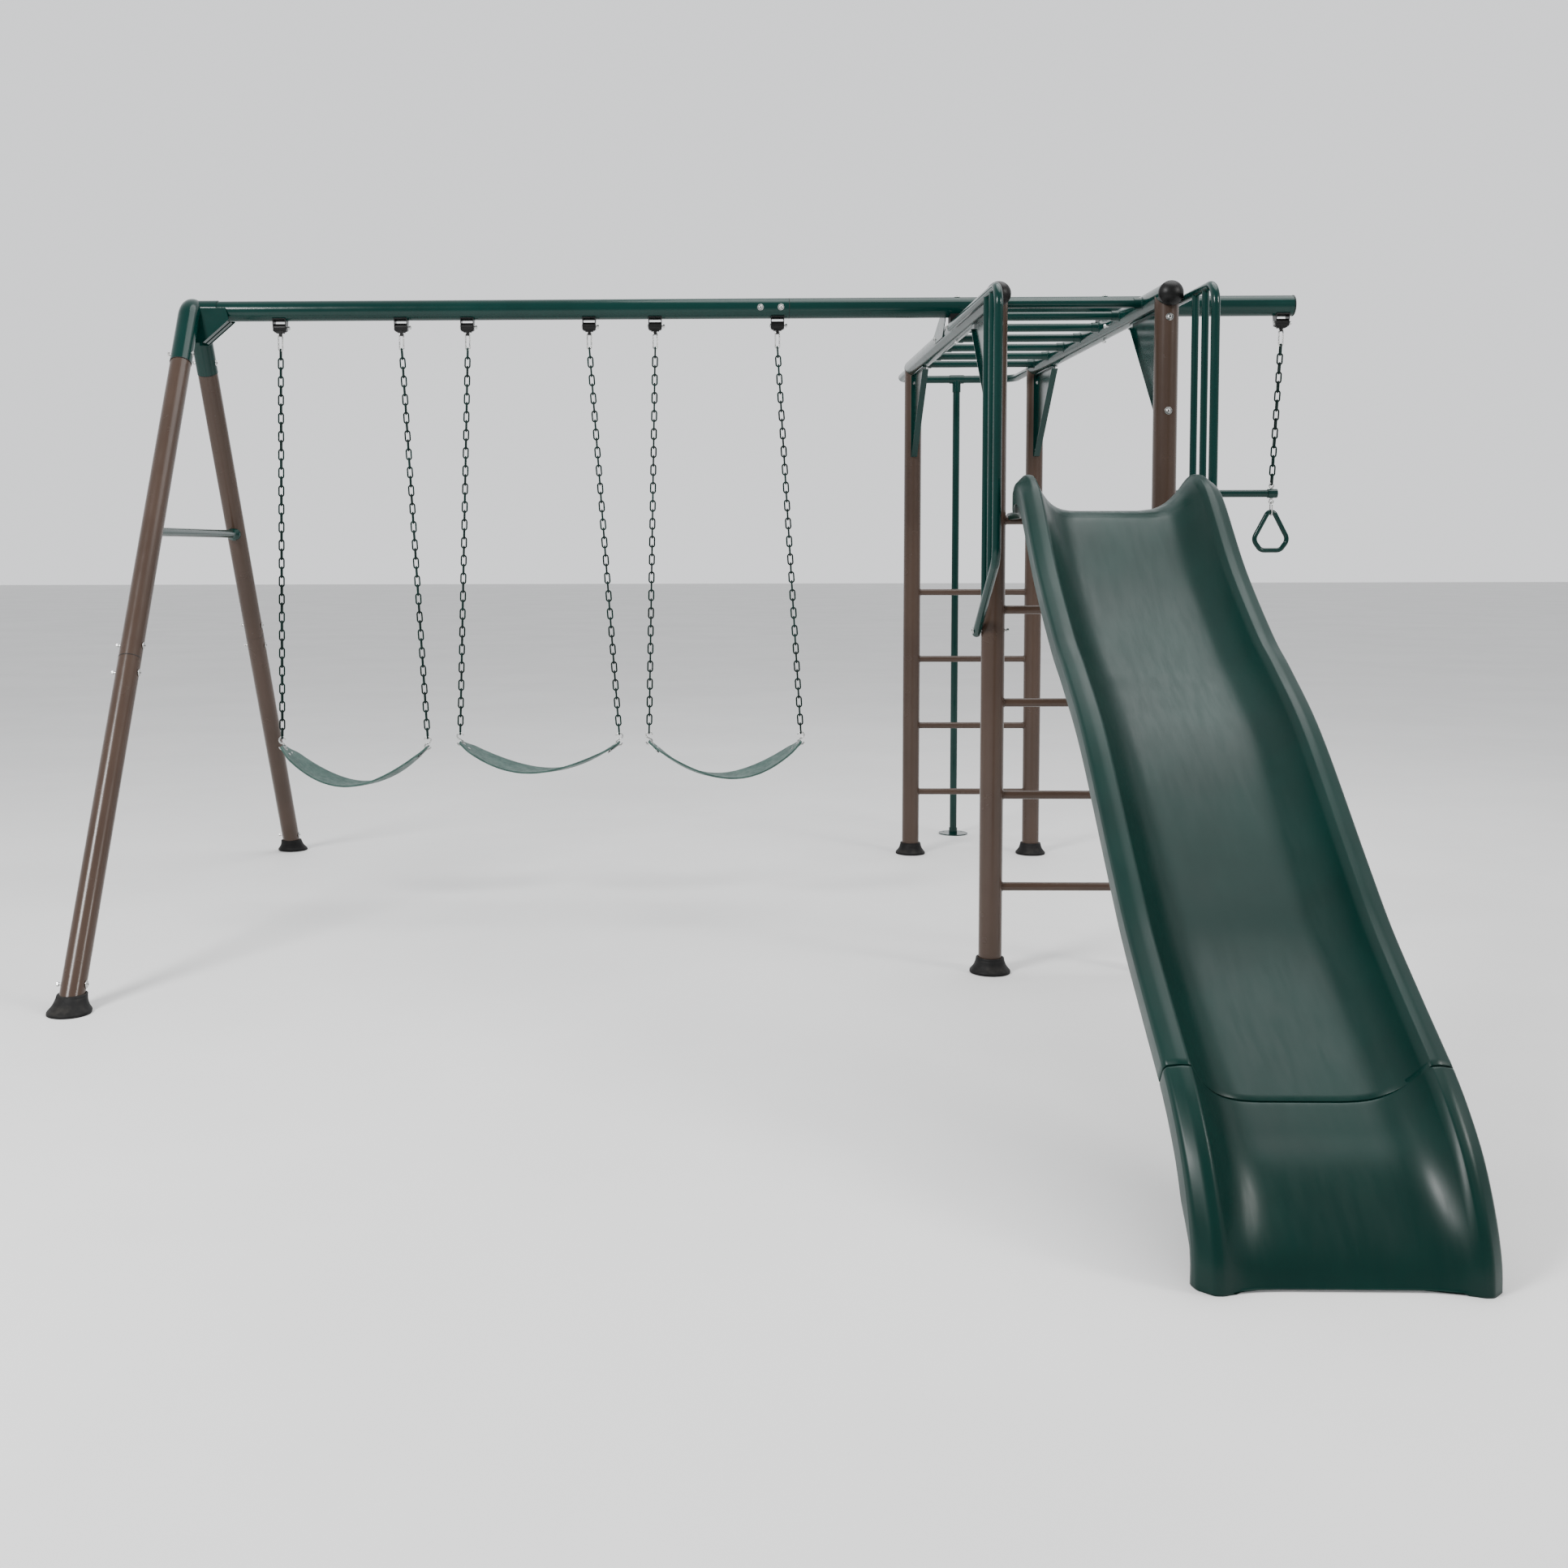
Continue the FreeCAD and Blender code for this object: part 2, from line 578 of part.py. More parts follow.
def drill_frame(nodes):
    """Cut every frame bolt's hole through the tubes and plates it crosses."""
    drills = []
    for p, d, length in bolt_places():
        hole = rod(p - d * 12, p + d * length, BOLT_R + 0.2)
        nut_room = rod(p + d * (length - 9), p + d * (length + 14), 2.3 * BOLT_R)
        drills.append(hole.fuse(nut_room))
    for name in BOLTED:
        shape = nodes[name]
        near = [drill for drill in drills if drill.BoundBox.intersect(shape.BoundBox)]
        nodes[name] = shape.cut(near)


# --- swings -------------------------------------------------------------------------
def hanger_bracket(x):
    """Strap over the beam with an ear each side of the swing bolt."""
    ring = tube(V(x - EAR_X - EAR_T, BEAM_Y, BEAM_Z), V(x + EAR_X + EAR_T, BEAM_Y, BEAM_Z), TUBE_R + 2.7, 2.5)
    low_half = Part.makeBox(200, 120, 88, V(x - 100, BEAM_Y - 60, BEAM_Z - 118))
    ears = []
    for s in (-1, 1):
        inner = x + s * EAR_X
        corner = [V(inner, BEAM_Y - 24, BEAM_Z - 30), V(inner, BEAM_Y + 24, BEAM_Z - 30),
                  V(inner, BEAM_Y + 13, PIVOT_Z - 12), V(inner, BEAM_Y - 13, PIVOT_Z - 12)]
        ears.append(plate(corner, V(s * EAR_T, 0, 0)))
    beam = rod(V(x - 60, BEAM_Y, BEAM_Z), V(x + 60, BEAM_Y, BEAM_Z), TUBE_R + 0.2)
    pin = rod(V(x - 60, BEAM_Y, PIVOT_Z), V(x + 60, BEAM_Y, PIVOT_Z), PIN_R + 0.1)
    return ring.common(low_half).fuse(ears).removeSplitter().cut([beam, pin])


def hanger_pin(x):
    return bolt(V(x - EAR_X - EAR_T - 0.2, BEAM_Y, PIVOT_Z), X_AXIS, 2 * (EAR_X + EAR_T) + 12, PIN_R)


def hanger_places():
    places = [x + s * HANG_HALF for x in SWING_X for s in (-1, 1)]
    return places + [TRAPEZE_X - HANG_HALF, TRAPEZE_X + HANG_HALF]


def pivot_bush(x):
    """Moulded bearing that turns on the swing bolt, with a lug for the snap hook."""
    half = EAR_X - 0.6
    drum = rod(V(x - half, BEAM_Y, PIVOT_Z), V(x + half, BEAM_Y, PIVOT_Z), 16.0)
    lug = Part.makeBox(8, 22, 22, V(x - 4, BEAM_Y - 11, PIVOT_Z - 31))
    shoulders = Part.makeBox(30, 20, 10, V(x - 15, BEAM_Y - 10, PIVOT_Z - 19))
    bore = rod(V(x - 40, BEAM_Y, PIVOT_Z), V(x + 40, BEAM_Y, PIVOT_Z), PIN_R + PIN_CLEAR)
    eye = rod(V(x - 40, BEAM_Y, PIVOT_Z - HOOK_DROP), V(x + 40, BEAM_Y, PIVOT_Z - HOOK_DROP), 4.6)
    hook = snap_hook_solid(V(x, BEAM_Y, PIVOT_Z - HOOK_DROP), HOOK_WIRE + 0.8)
    return drum.fuse([lug, shoulders]).removeSplitter().cut([bore, eye, hook])


def oval(half_w, length, wire):
    """Closed oval of round wire made of two half rings and two straight bars."""
    r = half_w
    low = -length + r
    top = Part.makeTorus(r, wire, V(0, 0, -r), Y_AXIS).common(
        Part.makeBox(4 * r, 4 * r, 2 * r, V(-2 * r, -2 * r, -r)))
    bottom = Part.makeTorus(r, wire, V(0, 0, low), Y_AXIS).common(
        Part.makeBox(4 * r, 4 * r, 2 * r, V(-2 * r, -2 * r, low - 2 * r)))
    bars = [rod(V(s * r, 0, low), V(s * r, 0, -r), wire) for s in (-1, 1)]
    return top.fuse([bottom] + bars).removeSplitter()


def snap_hook_solid(top, wire):
    return moved(oval(HOOK_HALF_W, HOOK_LENGTH, wire), top)


def chain_solid(top, bottom):
    """Row of interlocked links, alternate links turned a quarter; top and bottom are the
    centres of its first and last wires.  Both end links lie in the YZ plane."""
    length = (bottom - top).Length - LINK_GAP - 2 * LINK_WIRE
    count = 2 * int(round((length / LINK_PITCH - 1) / 2)) + 1
    pitch = length / count
    link = oval(LINK_HALF_W, pitch + LINK_GAP + 2 * LINK_WIRE, LINK_WIRE)
    hang = FreeCAD.Placement(top, FreeCAD.Rotation(V(0, 0, -1), bottom - top))
    links = []
    for k in range(count):
        quarter = FreeCAD.Rotation(Z_AXIS, 90.0 * ((k + 1) % 2))
        place = hang.multiply(FreeCAD.Placement(V(0, 0, -k * pitch), quarter))
        links.append(placed(link, place))
    return Part.makeCompound(links)


def s_hook(top, side):
    """S of round wire; its lower eye opens outward, to the given side."""
    upper = top + V(0, 0, -S_R)
    lower = upper + V(0, 0, -2 * S_R)
    slant = S_R * math.sqrt(0.5)

    def arc(centre, a, b, c):
        points = [centre + V(-side * x, 0, z) for x, z in (a, b, c)]
        return Part.Arc(*points).toShape()

    path = [arc(upper, (S_R, 2), (0, S_R), (-S_R, 0)), arc(upper, (-S_R, 0), (-slant, -slant), (0, -S_R)),
            arc(lower, (0, S_R), (slant, slant), (S_R, 0)), arc(lower, (S_R, 0), (0, -S_R), (-S_R, -2))]
    return sweep(Part.Wire(path), S_WIRE)


def belt_sag(span):
    return math.sqrt(3.0 / 8.0 * span * (BELT_LENGTH - span))


def belt(index):
    """Sling seat: a strap that hangs in a parabola and narrows towards each end."""
    x, span, end_z = seat_place(index)
    half = span / 2
    sag = belt_sag(span)
    steps = 12
    upper = []
    lower = []
    for k in range(steps + 1):
        t = -1.0 + 2.0 * k / steps
        slope = math.atan2(2 * sag * t, half)
        p = V(x + t * half, 0, end_z - sag * (1 - t * t))
        n = V(-math.sin(slope), 0, math.cos(slope)) * (BELT_T / 2)
        upper.append(p + n)
        lower.append(p - n)
    top = Part.BSplineCurve()
    top.interpolate(upper)
    bottom = Part.BSplineCurve()
    bottom.interpolate(list(reversed(lower)))
    ends = [Part.LineSegment(upper[-1], lower[-1]).toShape(), Part.LineSegment(lower[0], upper[0]).toShape()]
    strap = Part.Face(Part.Wire([top.toShape(), ends[0], bottom.toShape(), ends[1]])).extrude(V(0, BELT_W, 0))
    strap.translate(V(0, BEAM_Y - BELT_W / 2, 0))
    tip = half + 4
    shoulder = half - 44
    right = [(shoulder, -BELT_W / 2), (tip, -BELT_TIP), (tip, BELT_TIP), (shoulder, BELT_W / 2)]
    left = [(-dx, -dy) for dx, dy in right]
    outline = plate([V(x + dx, BEAM_Y + dy, 0) for dx, dy in right + left], V(0, 0, 1200))
    return strap.common(outline)


def seat_place(index):
    """A belt's middle along the beam, its span and the height of its ends."""
    return SWING_X[index] + SEAT_SHIFT, SEAT_SPAN[index], SEAT_END_Z[index]


def belt_end(index, side):
    """End of the belt: its middle, the direction it points and its upper normal."""
    x, span, end_z = seat_place(index)
    slope = math.atan2(2 * belt_sag(span), span / 2)
    outward = V(side * math.cos(slope), 0, math.sin(slope))
    normal = V(-side * math.sin(slope), 0, math.cos(slope))
    return V(x + side * span / 2, BEAM_Y, end_z), outward, normal


def eye_hole(index, side):
    end, outward = belt_end(index, side)[:2]
    return end - outward * EYE_IN


def eye_drill(index, side):
    hole = eye_hole(index, side)
    normal = belt_end(index, side)[2]
    return rod(hole - normal * 20, hole + normal * 20, EYE_HOLE_R)


def seat_eye(index, side):
    """Steel end plate under the belt, held by two rivets, with a hole for the S-hook."""
    end, outward, n = belt_end(index, side)
    under = n * (-BELT_T / 2 - 0.3)
    tip = end - outward * EYE_PLATE_INSET + under
    low = tip - outward * EYE_PLATE_LENGTH
    wide = V(0, EYE_PLATE_HALF_W, 0)
    thin = V(0, EYE_PLATE_TIP_HALF_W, 0)
    body = plate([low - wide, low + wide, tip + thin, tip - thin], n * -EYE_T)
    rivets = []
    for s in (-1, 1):
        at = low + outward * 14 + V(0, s * RIVET_Y, 0)
        shank = rod(at - n * 1, at + n * (BELT_T + 1), RIVET_R)
        rivets += [shank, rod(at + n * (BELT_T + 0.6), at + n * (BELT_T + 2.6), RIVET_HEAD_R)]
    return body.fuse(rivets).removeSplitter().cut(eye_drill(index, side))


def swing_parts(index):
    """Nodes of one belt swing."""
    bushes = []
    hooks = []
    chains = []
    eyes = []
    for side in (-1, 1):
        hang = SWING_X[index] + side * HANG_HALF
        top = V(hang, BEAM_Y, PIVOT_Z - HOOK_DROP)
        outward = belt_end(index, side)[1]
        s_top = eye_hole(index, side) + outward * S_R + V(0, 0, 3 * S_R)
        bushes.append(pivot_bush(hang))
        hooks += [snap_hook_solid(top, HOOK_WIRE), s_hook(s_top, side)]
        first = top + V(0, 0, HOOK_WIRE + LINK_WIRE + 0.15 - HOOK_LENGTH)
        last = s_top - V(0, 0, S_WIRE + LINK_WIRE + 0.15)
        chains.append(chain_solid(first, last))
        eyes.append(seat_eye(index, side))
    return {
        "swing_%d_bushes" % (index + 1): Part.makeCompound(bushes),
        "swing_%d_hooks" % (index + 1): Part.makeCompound(hooks),
        "swing_%d_chains" % (index + 1): group(*chains),
        "seat_%d_belt" % (index + 1): belt(index).cut(eyes + [eye_drill(index, side) for side in (-1, 1)]),
        "seat_%d_eyes" % (index + 1): Part.makeCompound(eyes),
    }


def ring_handle(x):
    """Rounded triangular hand ring hanging face-on below the bar."""
    top = RING_TOP - RING_R
    corners = [(0, top + 22.1, 18.0), (65, top - 103, 32.0), (36, top - 143, 26.0),
               (-36, top - 143, 26.0), (-65, top - 103, 32.0)]
    bends = []
    for k, (cx, cz, radius) in enumerate(corners):
        corner = V(x + cx, BEAM_Y, cz)
        before = V(x + corners[k - 1][0], BEAM_Y, corners[k - 1][1])
        after = V(x + corners[(k + 1) % 5][0], BEAM_Y, corners[(k + 1) % 5][1])
        a = (before - corner).normalize()
        b = (after - corner).normalize()
        half = a.getAngle(b) / 2
        reach = radius / math.tan(half)
        middle = corner + (a + b).normalize() * (radius / math.sin(half) - radius)
        bends.append((corner + a * reach, middle, corner + b * reach))
    path = []
    for k, (first, middle, last) in enumerate(bends):
        path.append(Part.Arc(first, middle, last).toShape())
        path.append(Part.LineSegment(last, bends[(k + 1) % 5][0]).toShape())
    return sweep(Part.Wire(path), RING_R)


def ring_link(x):
    """Steel link between the eye under the bar and the hand ring."""
    top = TRAPEZE_Z - EYE_DROP - EYE_R + 2 * EYE_WIRE + 0.15
    low = RING_TOP - 2 * RING_R - EYE_WIRE - 0.15
    link = oval(RING_LINK_W, top - low, EYE_WIRE)
    return placed(link, FreeCAD.Placement(V(x, BEAM_Y, top), FreeCAD.Rotation(Z_AXIS, 90)))


def eye_bolt(x):
    """Bolt through the bar with an eye above for the chain and one below for the ring."""
    shank = rod(V(x, BEAM_Y, TRAPEZE_Z - EYE_DROP + EYE_R), V(x, BEAM_Y, TRAPEZE_Z + EYE_DROP - EYE_R), 4.0)
    eyes = [Part.makeTorus(EYE_R, EYE_WIRE, V(x, BEAM_Y, TRAPEZE_Z + s * EYE_DROP), Y_AXIS) for s in (-1, 1)]
    middle = V(x, BEAM_Y, TRAPEZE_Z)
    seat = Z_AXIS * (TRAPEZE_CAP_R + 0.1)
    washer = Z_AXIS * 1.5
    washers = [rod(middle + seat * s, middle + (seat + washer) * s, 7.0) for s in (-1, 1)]
    return shank.fuse(eyes + washers).removeSplitter()


def trapeze_bar():
    ends = [V(TRAPEZE_X + s * TRAPEZE_BAR_HALF, BEAM_Y, TRAPEZE_Z) for s in (-1, 1)]
    holes = [rod(V(TRAPEZE_X + s * TRAPEZE_HALF, BEAM_Y, TRAPEZE_Z - 30),
                 V(TRAPEZE_X + s * TRAPEZE_HALF, BEAM_Y, TRAPEZE_Z + 30), 4.2) for s in (-1, 1)]
    return tube(ends[0], ends[1], TRAPEZE_R).cut(holes)


def trapeze_caps():
    """Thick sleeve over each end of the bar, closed at its outer end."""
    caps = []
    for side in (-1, 1):
        out = V(side, 0, 0)
        end = V(TRAPEZE_X + side * TRAPEZE_BAR_HALF, BEAM_Y, TRAPEZE_Z)
        eye = V(TRAPEZE_X + side * TRAPEZE_HALF, BEAM_Y, TRAPEZE_Z)
        body = rod(end - out * 23, end + out * 11, TRAPEZE_CAP_R)
        bar = rod(end - out * 24, end + out * 0.3, TRAPEZE_R + 0.1)
        caps.append(body.cut([bar, rod(eye - Z_AXIS * 30, eye + Z_AXIS * 30, 4.2)]))
    return Part.makeCompound(caps)


def trapeze_parts():
    bushes = []
    hooks = []
    chains = []
    eyes = []
    for side in (-1, 1):
        hang = TRAPEZE_X + side * HANG_HALF
        low = TRAPEZE_X + side * TRAPEZE_HALF
        top = V(hang, BEAM_Y, PIVOT_Z - HOOK_DROP)
        bushes.append(pivot_bush(hang))
        hooks.append(snap_hook_solid(top, HOOK_WIRE))
        first = top + V(0, 0, HOOK_WIRE + LINK_WIRE + 0.15 - HOOK_LENGTH)
        last = V(low, BEAM_Y, TRAPEZE_Z + EYE_DROP + EYE_R - EYE_WIRE - LINK_WIRE - 0.15)
        chains.append(chain_solid(first, last))
        eyes.append(eye_bolt(low))
    nodes = {
        "trapeze_bushes": Part.makeCompound(bushes),
        "trapeze_chains": group(*chains),
        "trapeze_hooks": Part.makeCompound(hooks + eyes),
        "trapeze_bar": trapeze_bar(),
        "trapeze_bar_caps": trapeze_caps(),
    }
    for name, side in (("left", -1), ("right", 1)):
        x = TRAPEZE_X + side * TRAPEZE_HALF
        nodes["ring_%s_handle" % name] = ring_handle(x)
        nodes["ring_%s_link" % name] = ring_link(x)
    return nodes


# --- the whole set ------------------------------------------------------------------
def build():
    nodes = {
        "post_front_left": post(-POST_X, 0),
        "post_front_right": post(POST_X, 0),
        "post_rear_left": post(-POST_X, BAY),
        "post_rear_right": post(POST_X, BAY),
        "boots": Part.makeCompound(boots()),
        "ladder_rungs": group(rungs(0, ladder_heights()), rungs(BAY, ladder_heights())),
        "slide_bar": rungs(0, [SLIDE_BAR_Z]),
        "rail_left": rail(-POST_X),
        "rail_right": rail(POST_X),
        "rail_caps": Part.makeCompound([rail_cap(-POST_X), rail_cap(POST_X)]),
        "monkey_bars": monkey_bars(),
        "post_gussets": Part.makeCompound(pair(post_gusset(0)) + pair(post_gusset(BAY))),
        "beam_saddles": Part.makeCompound([beam_saddle(-POST_X), beam_saddle(POST_X)]),
        "beam_gussets": Part.makeCompound(pair(beam_gusset())),
        "pole_hoop": hoop(),
        "fire_pole": pole(),
        "pole_tee": pole_tee(),
        "pole_base_plate": pole_plate(),
        "hand_rail_left": mirror_x(hand_rail()),
        "hand_rail_right": hand_rail(),
        "beam_left": beam_left(),
        "beam_right": beam_right(),
        "beam_end_cap": beam_end_cap(),
        "end_crown": crown(),
        "end_crown_gussets": crown_gussets(),
        "leg_upper_front": leg_upper(-1),
        "leg_upper_rear": leg_upper(1),
        "leg_lower_front": leg_lower(-1),
        "leg_lower_rear": leg_lower(1),
        "leg_brace": leg_brace(),
        "slide_upper": slide_upper(),
        "slide_lower": slide_lower(),
        "hanger_brackets": Part.makeCompound([hanger_bracket(x) for x in hanger_places()]),
        "hanger_pins": Part.makeCompound([hanger_pin(x) for x in hanger_places()]),
    }
    drill_frame(nodes)
    nodes["frame_bolts"] = Part.makeCompound([bolt(*place, BOLT_R) for place in bolt_places()])
    for index in range(len(SWING_X)):
        nodes.update(swing_parts(index))
    nodes.update(trapeze_parts())
    return nodes


def main():
    os.makedirs("parts", exist_ok=True)
    for name, shape in build().items():
        moved(shape, V(-ORIGIN_X, -ORIGIN_Y, 0)).exportStep("parts/%s.step" % name)


main()
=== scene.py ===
"""Looks for the playground swing set: materials, weld beads, boots, slide, belts, light and camera.

Everything is in metres in the part's own frame: +X along the beam towards the tower,
+Y from the slide back to the pole, +Z up, and the ground at Z = 0.
"""
import json
import math

import bpy
from mathutils import Matrix, Vector


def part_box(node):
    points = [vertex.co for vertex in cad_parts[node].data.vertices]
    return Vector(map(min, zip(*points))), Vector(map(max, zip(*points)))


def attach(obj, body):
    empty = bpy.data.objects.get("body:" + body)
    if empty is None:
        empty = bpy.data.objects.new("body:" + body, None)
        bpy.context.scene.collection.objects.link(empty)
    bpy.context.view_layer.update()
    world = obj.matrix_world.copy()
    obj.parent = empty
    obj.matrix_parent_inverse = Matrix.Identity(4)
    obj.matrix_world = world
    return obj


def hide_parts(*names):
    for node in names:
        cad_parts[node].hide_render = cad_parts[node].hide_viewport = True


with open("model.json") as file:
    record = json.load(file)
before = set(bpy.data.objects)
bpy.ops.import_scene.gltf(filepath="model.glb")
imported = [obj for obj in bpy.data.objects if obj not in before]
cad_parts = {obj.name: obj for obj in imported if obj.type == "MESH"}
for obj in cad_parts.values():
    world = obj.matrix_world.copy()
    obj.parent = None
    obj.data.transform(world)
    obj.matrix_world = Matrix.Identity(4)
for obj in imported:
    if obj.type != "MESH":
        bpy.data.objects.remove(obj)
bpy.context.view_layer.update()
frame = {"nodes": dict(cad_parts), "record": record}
nodes = frame["nodes"]
MM = 0.001
X, Y, Z = Vector((1, 0, 0)), Vector((0, 1, 0)), Vector((0, 0, 1))


def centre(node):
    low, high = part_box(node)
    return (low + high) / 2


TOWER_X = centre("slide_bar").x          # middle of the tower
FRONT_Y = centre("slide_bar").y          # plane of the front posts
POST_HALF = centre("post_front_right").x - TOWER_X
POST_R = 38 * MM                         # every post, leg, rail and beam is 76 mm tube
RAIL_Z = centre("rail_left").z
BEAM = centre("beam_right")


# --- materials ----------------------------------------------------------------------
TEAL = (0.0002, 0.0225, 0.0185)
BROWN = (0.054, 0.0345, 0.0255)
ENAMEL_BLACK = (0.006, 0.007, 0.007)
RUBBER_BLACK = (0.005, 0.005, 0.0052)
NYLON_BLACK = (0.004, 0.004, 0.004)
# painted shade: near black standing in for the shade inside bolt sockets, eyelet holes and tube joint gaps
PAINTED_SHADE_BLACK = (0.006, 0.006, 0.006)
CHAIN_GREEN = (0.001, 0.011, 0.009)
SLIDE_GREEN = (0.0002, 0.0195, 0.0152)
SLIDE_SCUFF = (0.02, 0.06, 0.05)
BELT_DARK = (0.022, 0.06, 0.05)
BELT_RUBBED = (0.045, 0.095, 0.08)
ZINC_BRIGHT = (0.62, 0.62, 0.6)
ZINC_DULL = (0.42, 0.43, 0.43)
PAINT_DUST = (0.2, 0.19, 0.17)
MOULDED_DUST = (0.22, 0.2, 0.17)
FLOOR_DARK = (0.76, 0.76, 0.755)
FLOOR_PALE = (0.8, 0.8, 0.795)


class Graph:
    """Short hand for building one material's node tree."""

    def __init__(self, name):
        self.material = bpy.data.materials.new(name)
        self.material.use_nodes = True
        self.tree = self.material.node_tree
        self.shader = self.tree.nodes["Principled BSDF"]
        self.place = self.tree.nodes.new("ShaderNodeTexCoord").outputs["Object"]
        self.normal = None

    def link(self, source, socket):
        self.tree.links.new(source, socket)

    def stretched(self, scale):
        mapping = self.tree.nodes.new("ShaderNodeMapping")
        mapping.inputs["Scale"].default_value = scale
        self.link(self.place, mapping.inputs["Vector"])
        return mapping.outputs["Vector"]

    def noise(self, scale, detail=4.0, stretch=None, rough=0.55):
        node = self.tree.nodes.new("ShaderNodeTexNoise")
        node.inputs["Scale"].default_value = scale
        node.inputs["Detail"].default_value = detail
        node.inputs["Roughness"].default_value = rough
        self.link(self.stretched(stretch) if stretch else self.place, node.inputs["Vector"])
        return node.outputs["Fac"]

    def remap(self, value, low, high, to_low, to_high):
        node = self.tree.nodes.new("ShaderNodeMapRange")
        node.interpolation_type = "SMOOTHSTEP"
        for socket, number in zip(node.inputs[1:5], (low, high, to_low, to_high)):
            socket.default_value = number
        self.link(value, node.inputs[0])
        return node.outputs[0]

    def times(self, a, b):
        node = self.tree.nodes.new("ShaderNodeMath")
        node.operation = "MULTIPLY"
        for socket, value in zip(node.inputs, (a, b)):
            if isinstance(value, float):
                socket.default_value = value
            else:
                self.link(value, socket)
        return node.outputs[0]

    def mix(self, factor, a, b):
        node = self.tree.nodes.new("ShaderNodeMix")
        node.data_type = "RGBA"
        self.link(factor, node.inputs["Factor"])
        for socket, colour in ((node.inputs[6], a), (node.inputs[7], b)):
            if isinstance(colour, tuple):
                socket.default_value = (*colour, 1.0)
            else:
                self.link(colour, socket)
        return node.outputs[2]

    def bump(self, height, distance, strength=1.0):
        node = self.tree.nodes.new("ShaderNodeBump")
        node.inputs["Distance"].default_value = distance
        node.inputs["Strength"].default_value = strength
        self.link(height, node.inputs["Height"])
        if self.normal:
            self.link(self.normal, node.inputs["Normal"])
        self.normal = node.outputs["Normal"]

    def facing_up(self):
        geometry = self.tree.nodes.new("ShaderNodeNewGeometry")
        split = self.tree.nodes.new("ShaderNodeSeparateXYZ")
        self.link(geometry.outputs["Normal"], split.inputs[0])
        return split.outputs["Z"]

    def finish(self, colour, roughness, **constants):
        self.link(colour, self.shader.inputs["Base Color"])
        self.link(roughness, self.shader.inputs["Roughness"])
        if self.normal:
            self.link(self.normal, self.shader.inputs["Normal"])
        for name, value in constants.items():
            self.shader.inputs[name.replace("_", " ")].default_value = value
        return self.material


def shade(colour, factor):
    return tuple(min(1.0, c * factor) for c in colour)


def paint(name, colour, gloss, coat, shine, dust=0.04):
    """Powder coat: faint cloudiness and orange peel, uneven gloss and a trace of dust on top."""
    g = Graph(name)
    cloud = g.remap(g.noise(2.3, 3), 0.35, 0.65, 0.0, 1.0)
    tone = g.mix(cloud, shade(colour, 0.92), shade(colour, 1.1))
    up = g.times(g.remap(g.facing_up(), 0.5, 1.0, 0.0, dust), g.remap(g.noise(9, 5), 0.35, 0.7, 0.2, 1.0))
    tone = g.mix(up, tone, PAINT_DUST)
    g.bump(g.noise(240, 2), 0.0001, 0.06)
    rough = g.remap(g.noise(14, 5), 0.3, 0.7, gloss * 0.88, gloss * 1.15)
    return g.finish(tone, rough, Coat_Weight=coat, Coat_Roughness=0.08, IOR=1.46, Specular_IOR_Level=shine)


def moulded(name, colour, roughness, grain, depth, dust=0.0, worn=1.5, shine=0.3):
    """Moulded rubber or plastic with a matt pebbled skin."""
    g = Graph(name)
    tone = g.mix(g.remap(g.noise(11, 4), 0.35, 0.68, 0.0, 1.0), shade(colour, 0.8), shade(colour, worn))
    upward = g.remap(g.facing_up(), 0.1, 0.9, 0.0, dust)
    patchy = g.remap(g.noise(32, 6), 0.4, 0.7, 0.1, 1.0)
    tone = g.mix(g.times(upward, patchy), tone, MOULDED_DUST)
    g.bump(g.noise(grain, 3), depth, 0.6)
    rough = g.remap(g.noise(40, 4), 0.3, 0.7, roughness * 0.88, roughness * 1.12)
    return g.finish(tone, rough, IOR=1.5, Specular_IOR_Level=shine)


def zinc_plate():
    """Bright zinc with faint drawing lines and duller patches."""
    g = Graph("zinc_plate")
    patch = g.remap(g.noise(60, 5), 0.35, 0.68, 0.0, 1.0)
    tone = g.mix(patch, ZINC_BRIGHT, ZINC_DULL)
    g.bump(g.noise(700, 2, (1, 1, 0.08)), 0.0001, 0.35)
    return g.finish(tone, g.remap(g.noise(140, 3), 0.3, 0.7, 0.2, 0.42), Metallic=1.0)


def slide_plastic():
    """Satin moulded polyethylene: fine pebble, slow waviness and scuffs along the run."""
    g = Graph("slide_polyethylene")
    cloud = g.remap(g.noise(3.1, 4), 0.3, 0.7, 0.0, 1.0)
    tone = g.mix(cloud, shade(SLIDE_GREEN, 0.86), shade(SLIDE_GREEN, 1.16))
    scuff = g.remap(g.noise(26, 6, (5.0, 0.35, 0.35), 0.7), 0.6, 0.8, 0.0, 0.1)
    tone = g.mix(scuff, tone, SLIDE_SCUFF)
    g.bump(g.noise(3.4, 2), 0.004, 0.08)
    g.bump(g.noise(760, 3), 0.0001, 0.25)
    rough = g.remap(g.noise(17, 6, (3.0, 0.5, 0.5)), 0.3, 0.7, 0.3, 0.38)
    return g.finish(tone, rough, IOR=1.5, Specular_IOR_Level=0.2)


def belt_polymer():
    """Soft belt with a leather-like grain, greyer where it is rubbed."""
    g = Graph("belt_polymer")
    tone = g.mix(g.remap(g.noise(21, 5), 0.35, 0.7, 0.0, 1.0), BELT_DARK, BELT_RUBBED)
    cells = g.tree.nodes.new("ShaderNodeTexVoronoi")
    cells.inputs["Scale"].default_value = 520
    g.link(g.place, cells.inputs["Vector"])
    g.bump(cells.outputs["Distance"], 0.0003, 0.5)
    g.bump(g.noise(90, 4), 0.0005, 0.3)
    return g.finish(tone, g.remap(g.noise(60, 4), 0.3, 0.7, 0.42, 0.6), IOR=1.5, Specular_IOR_Level=0.35)


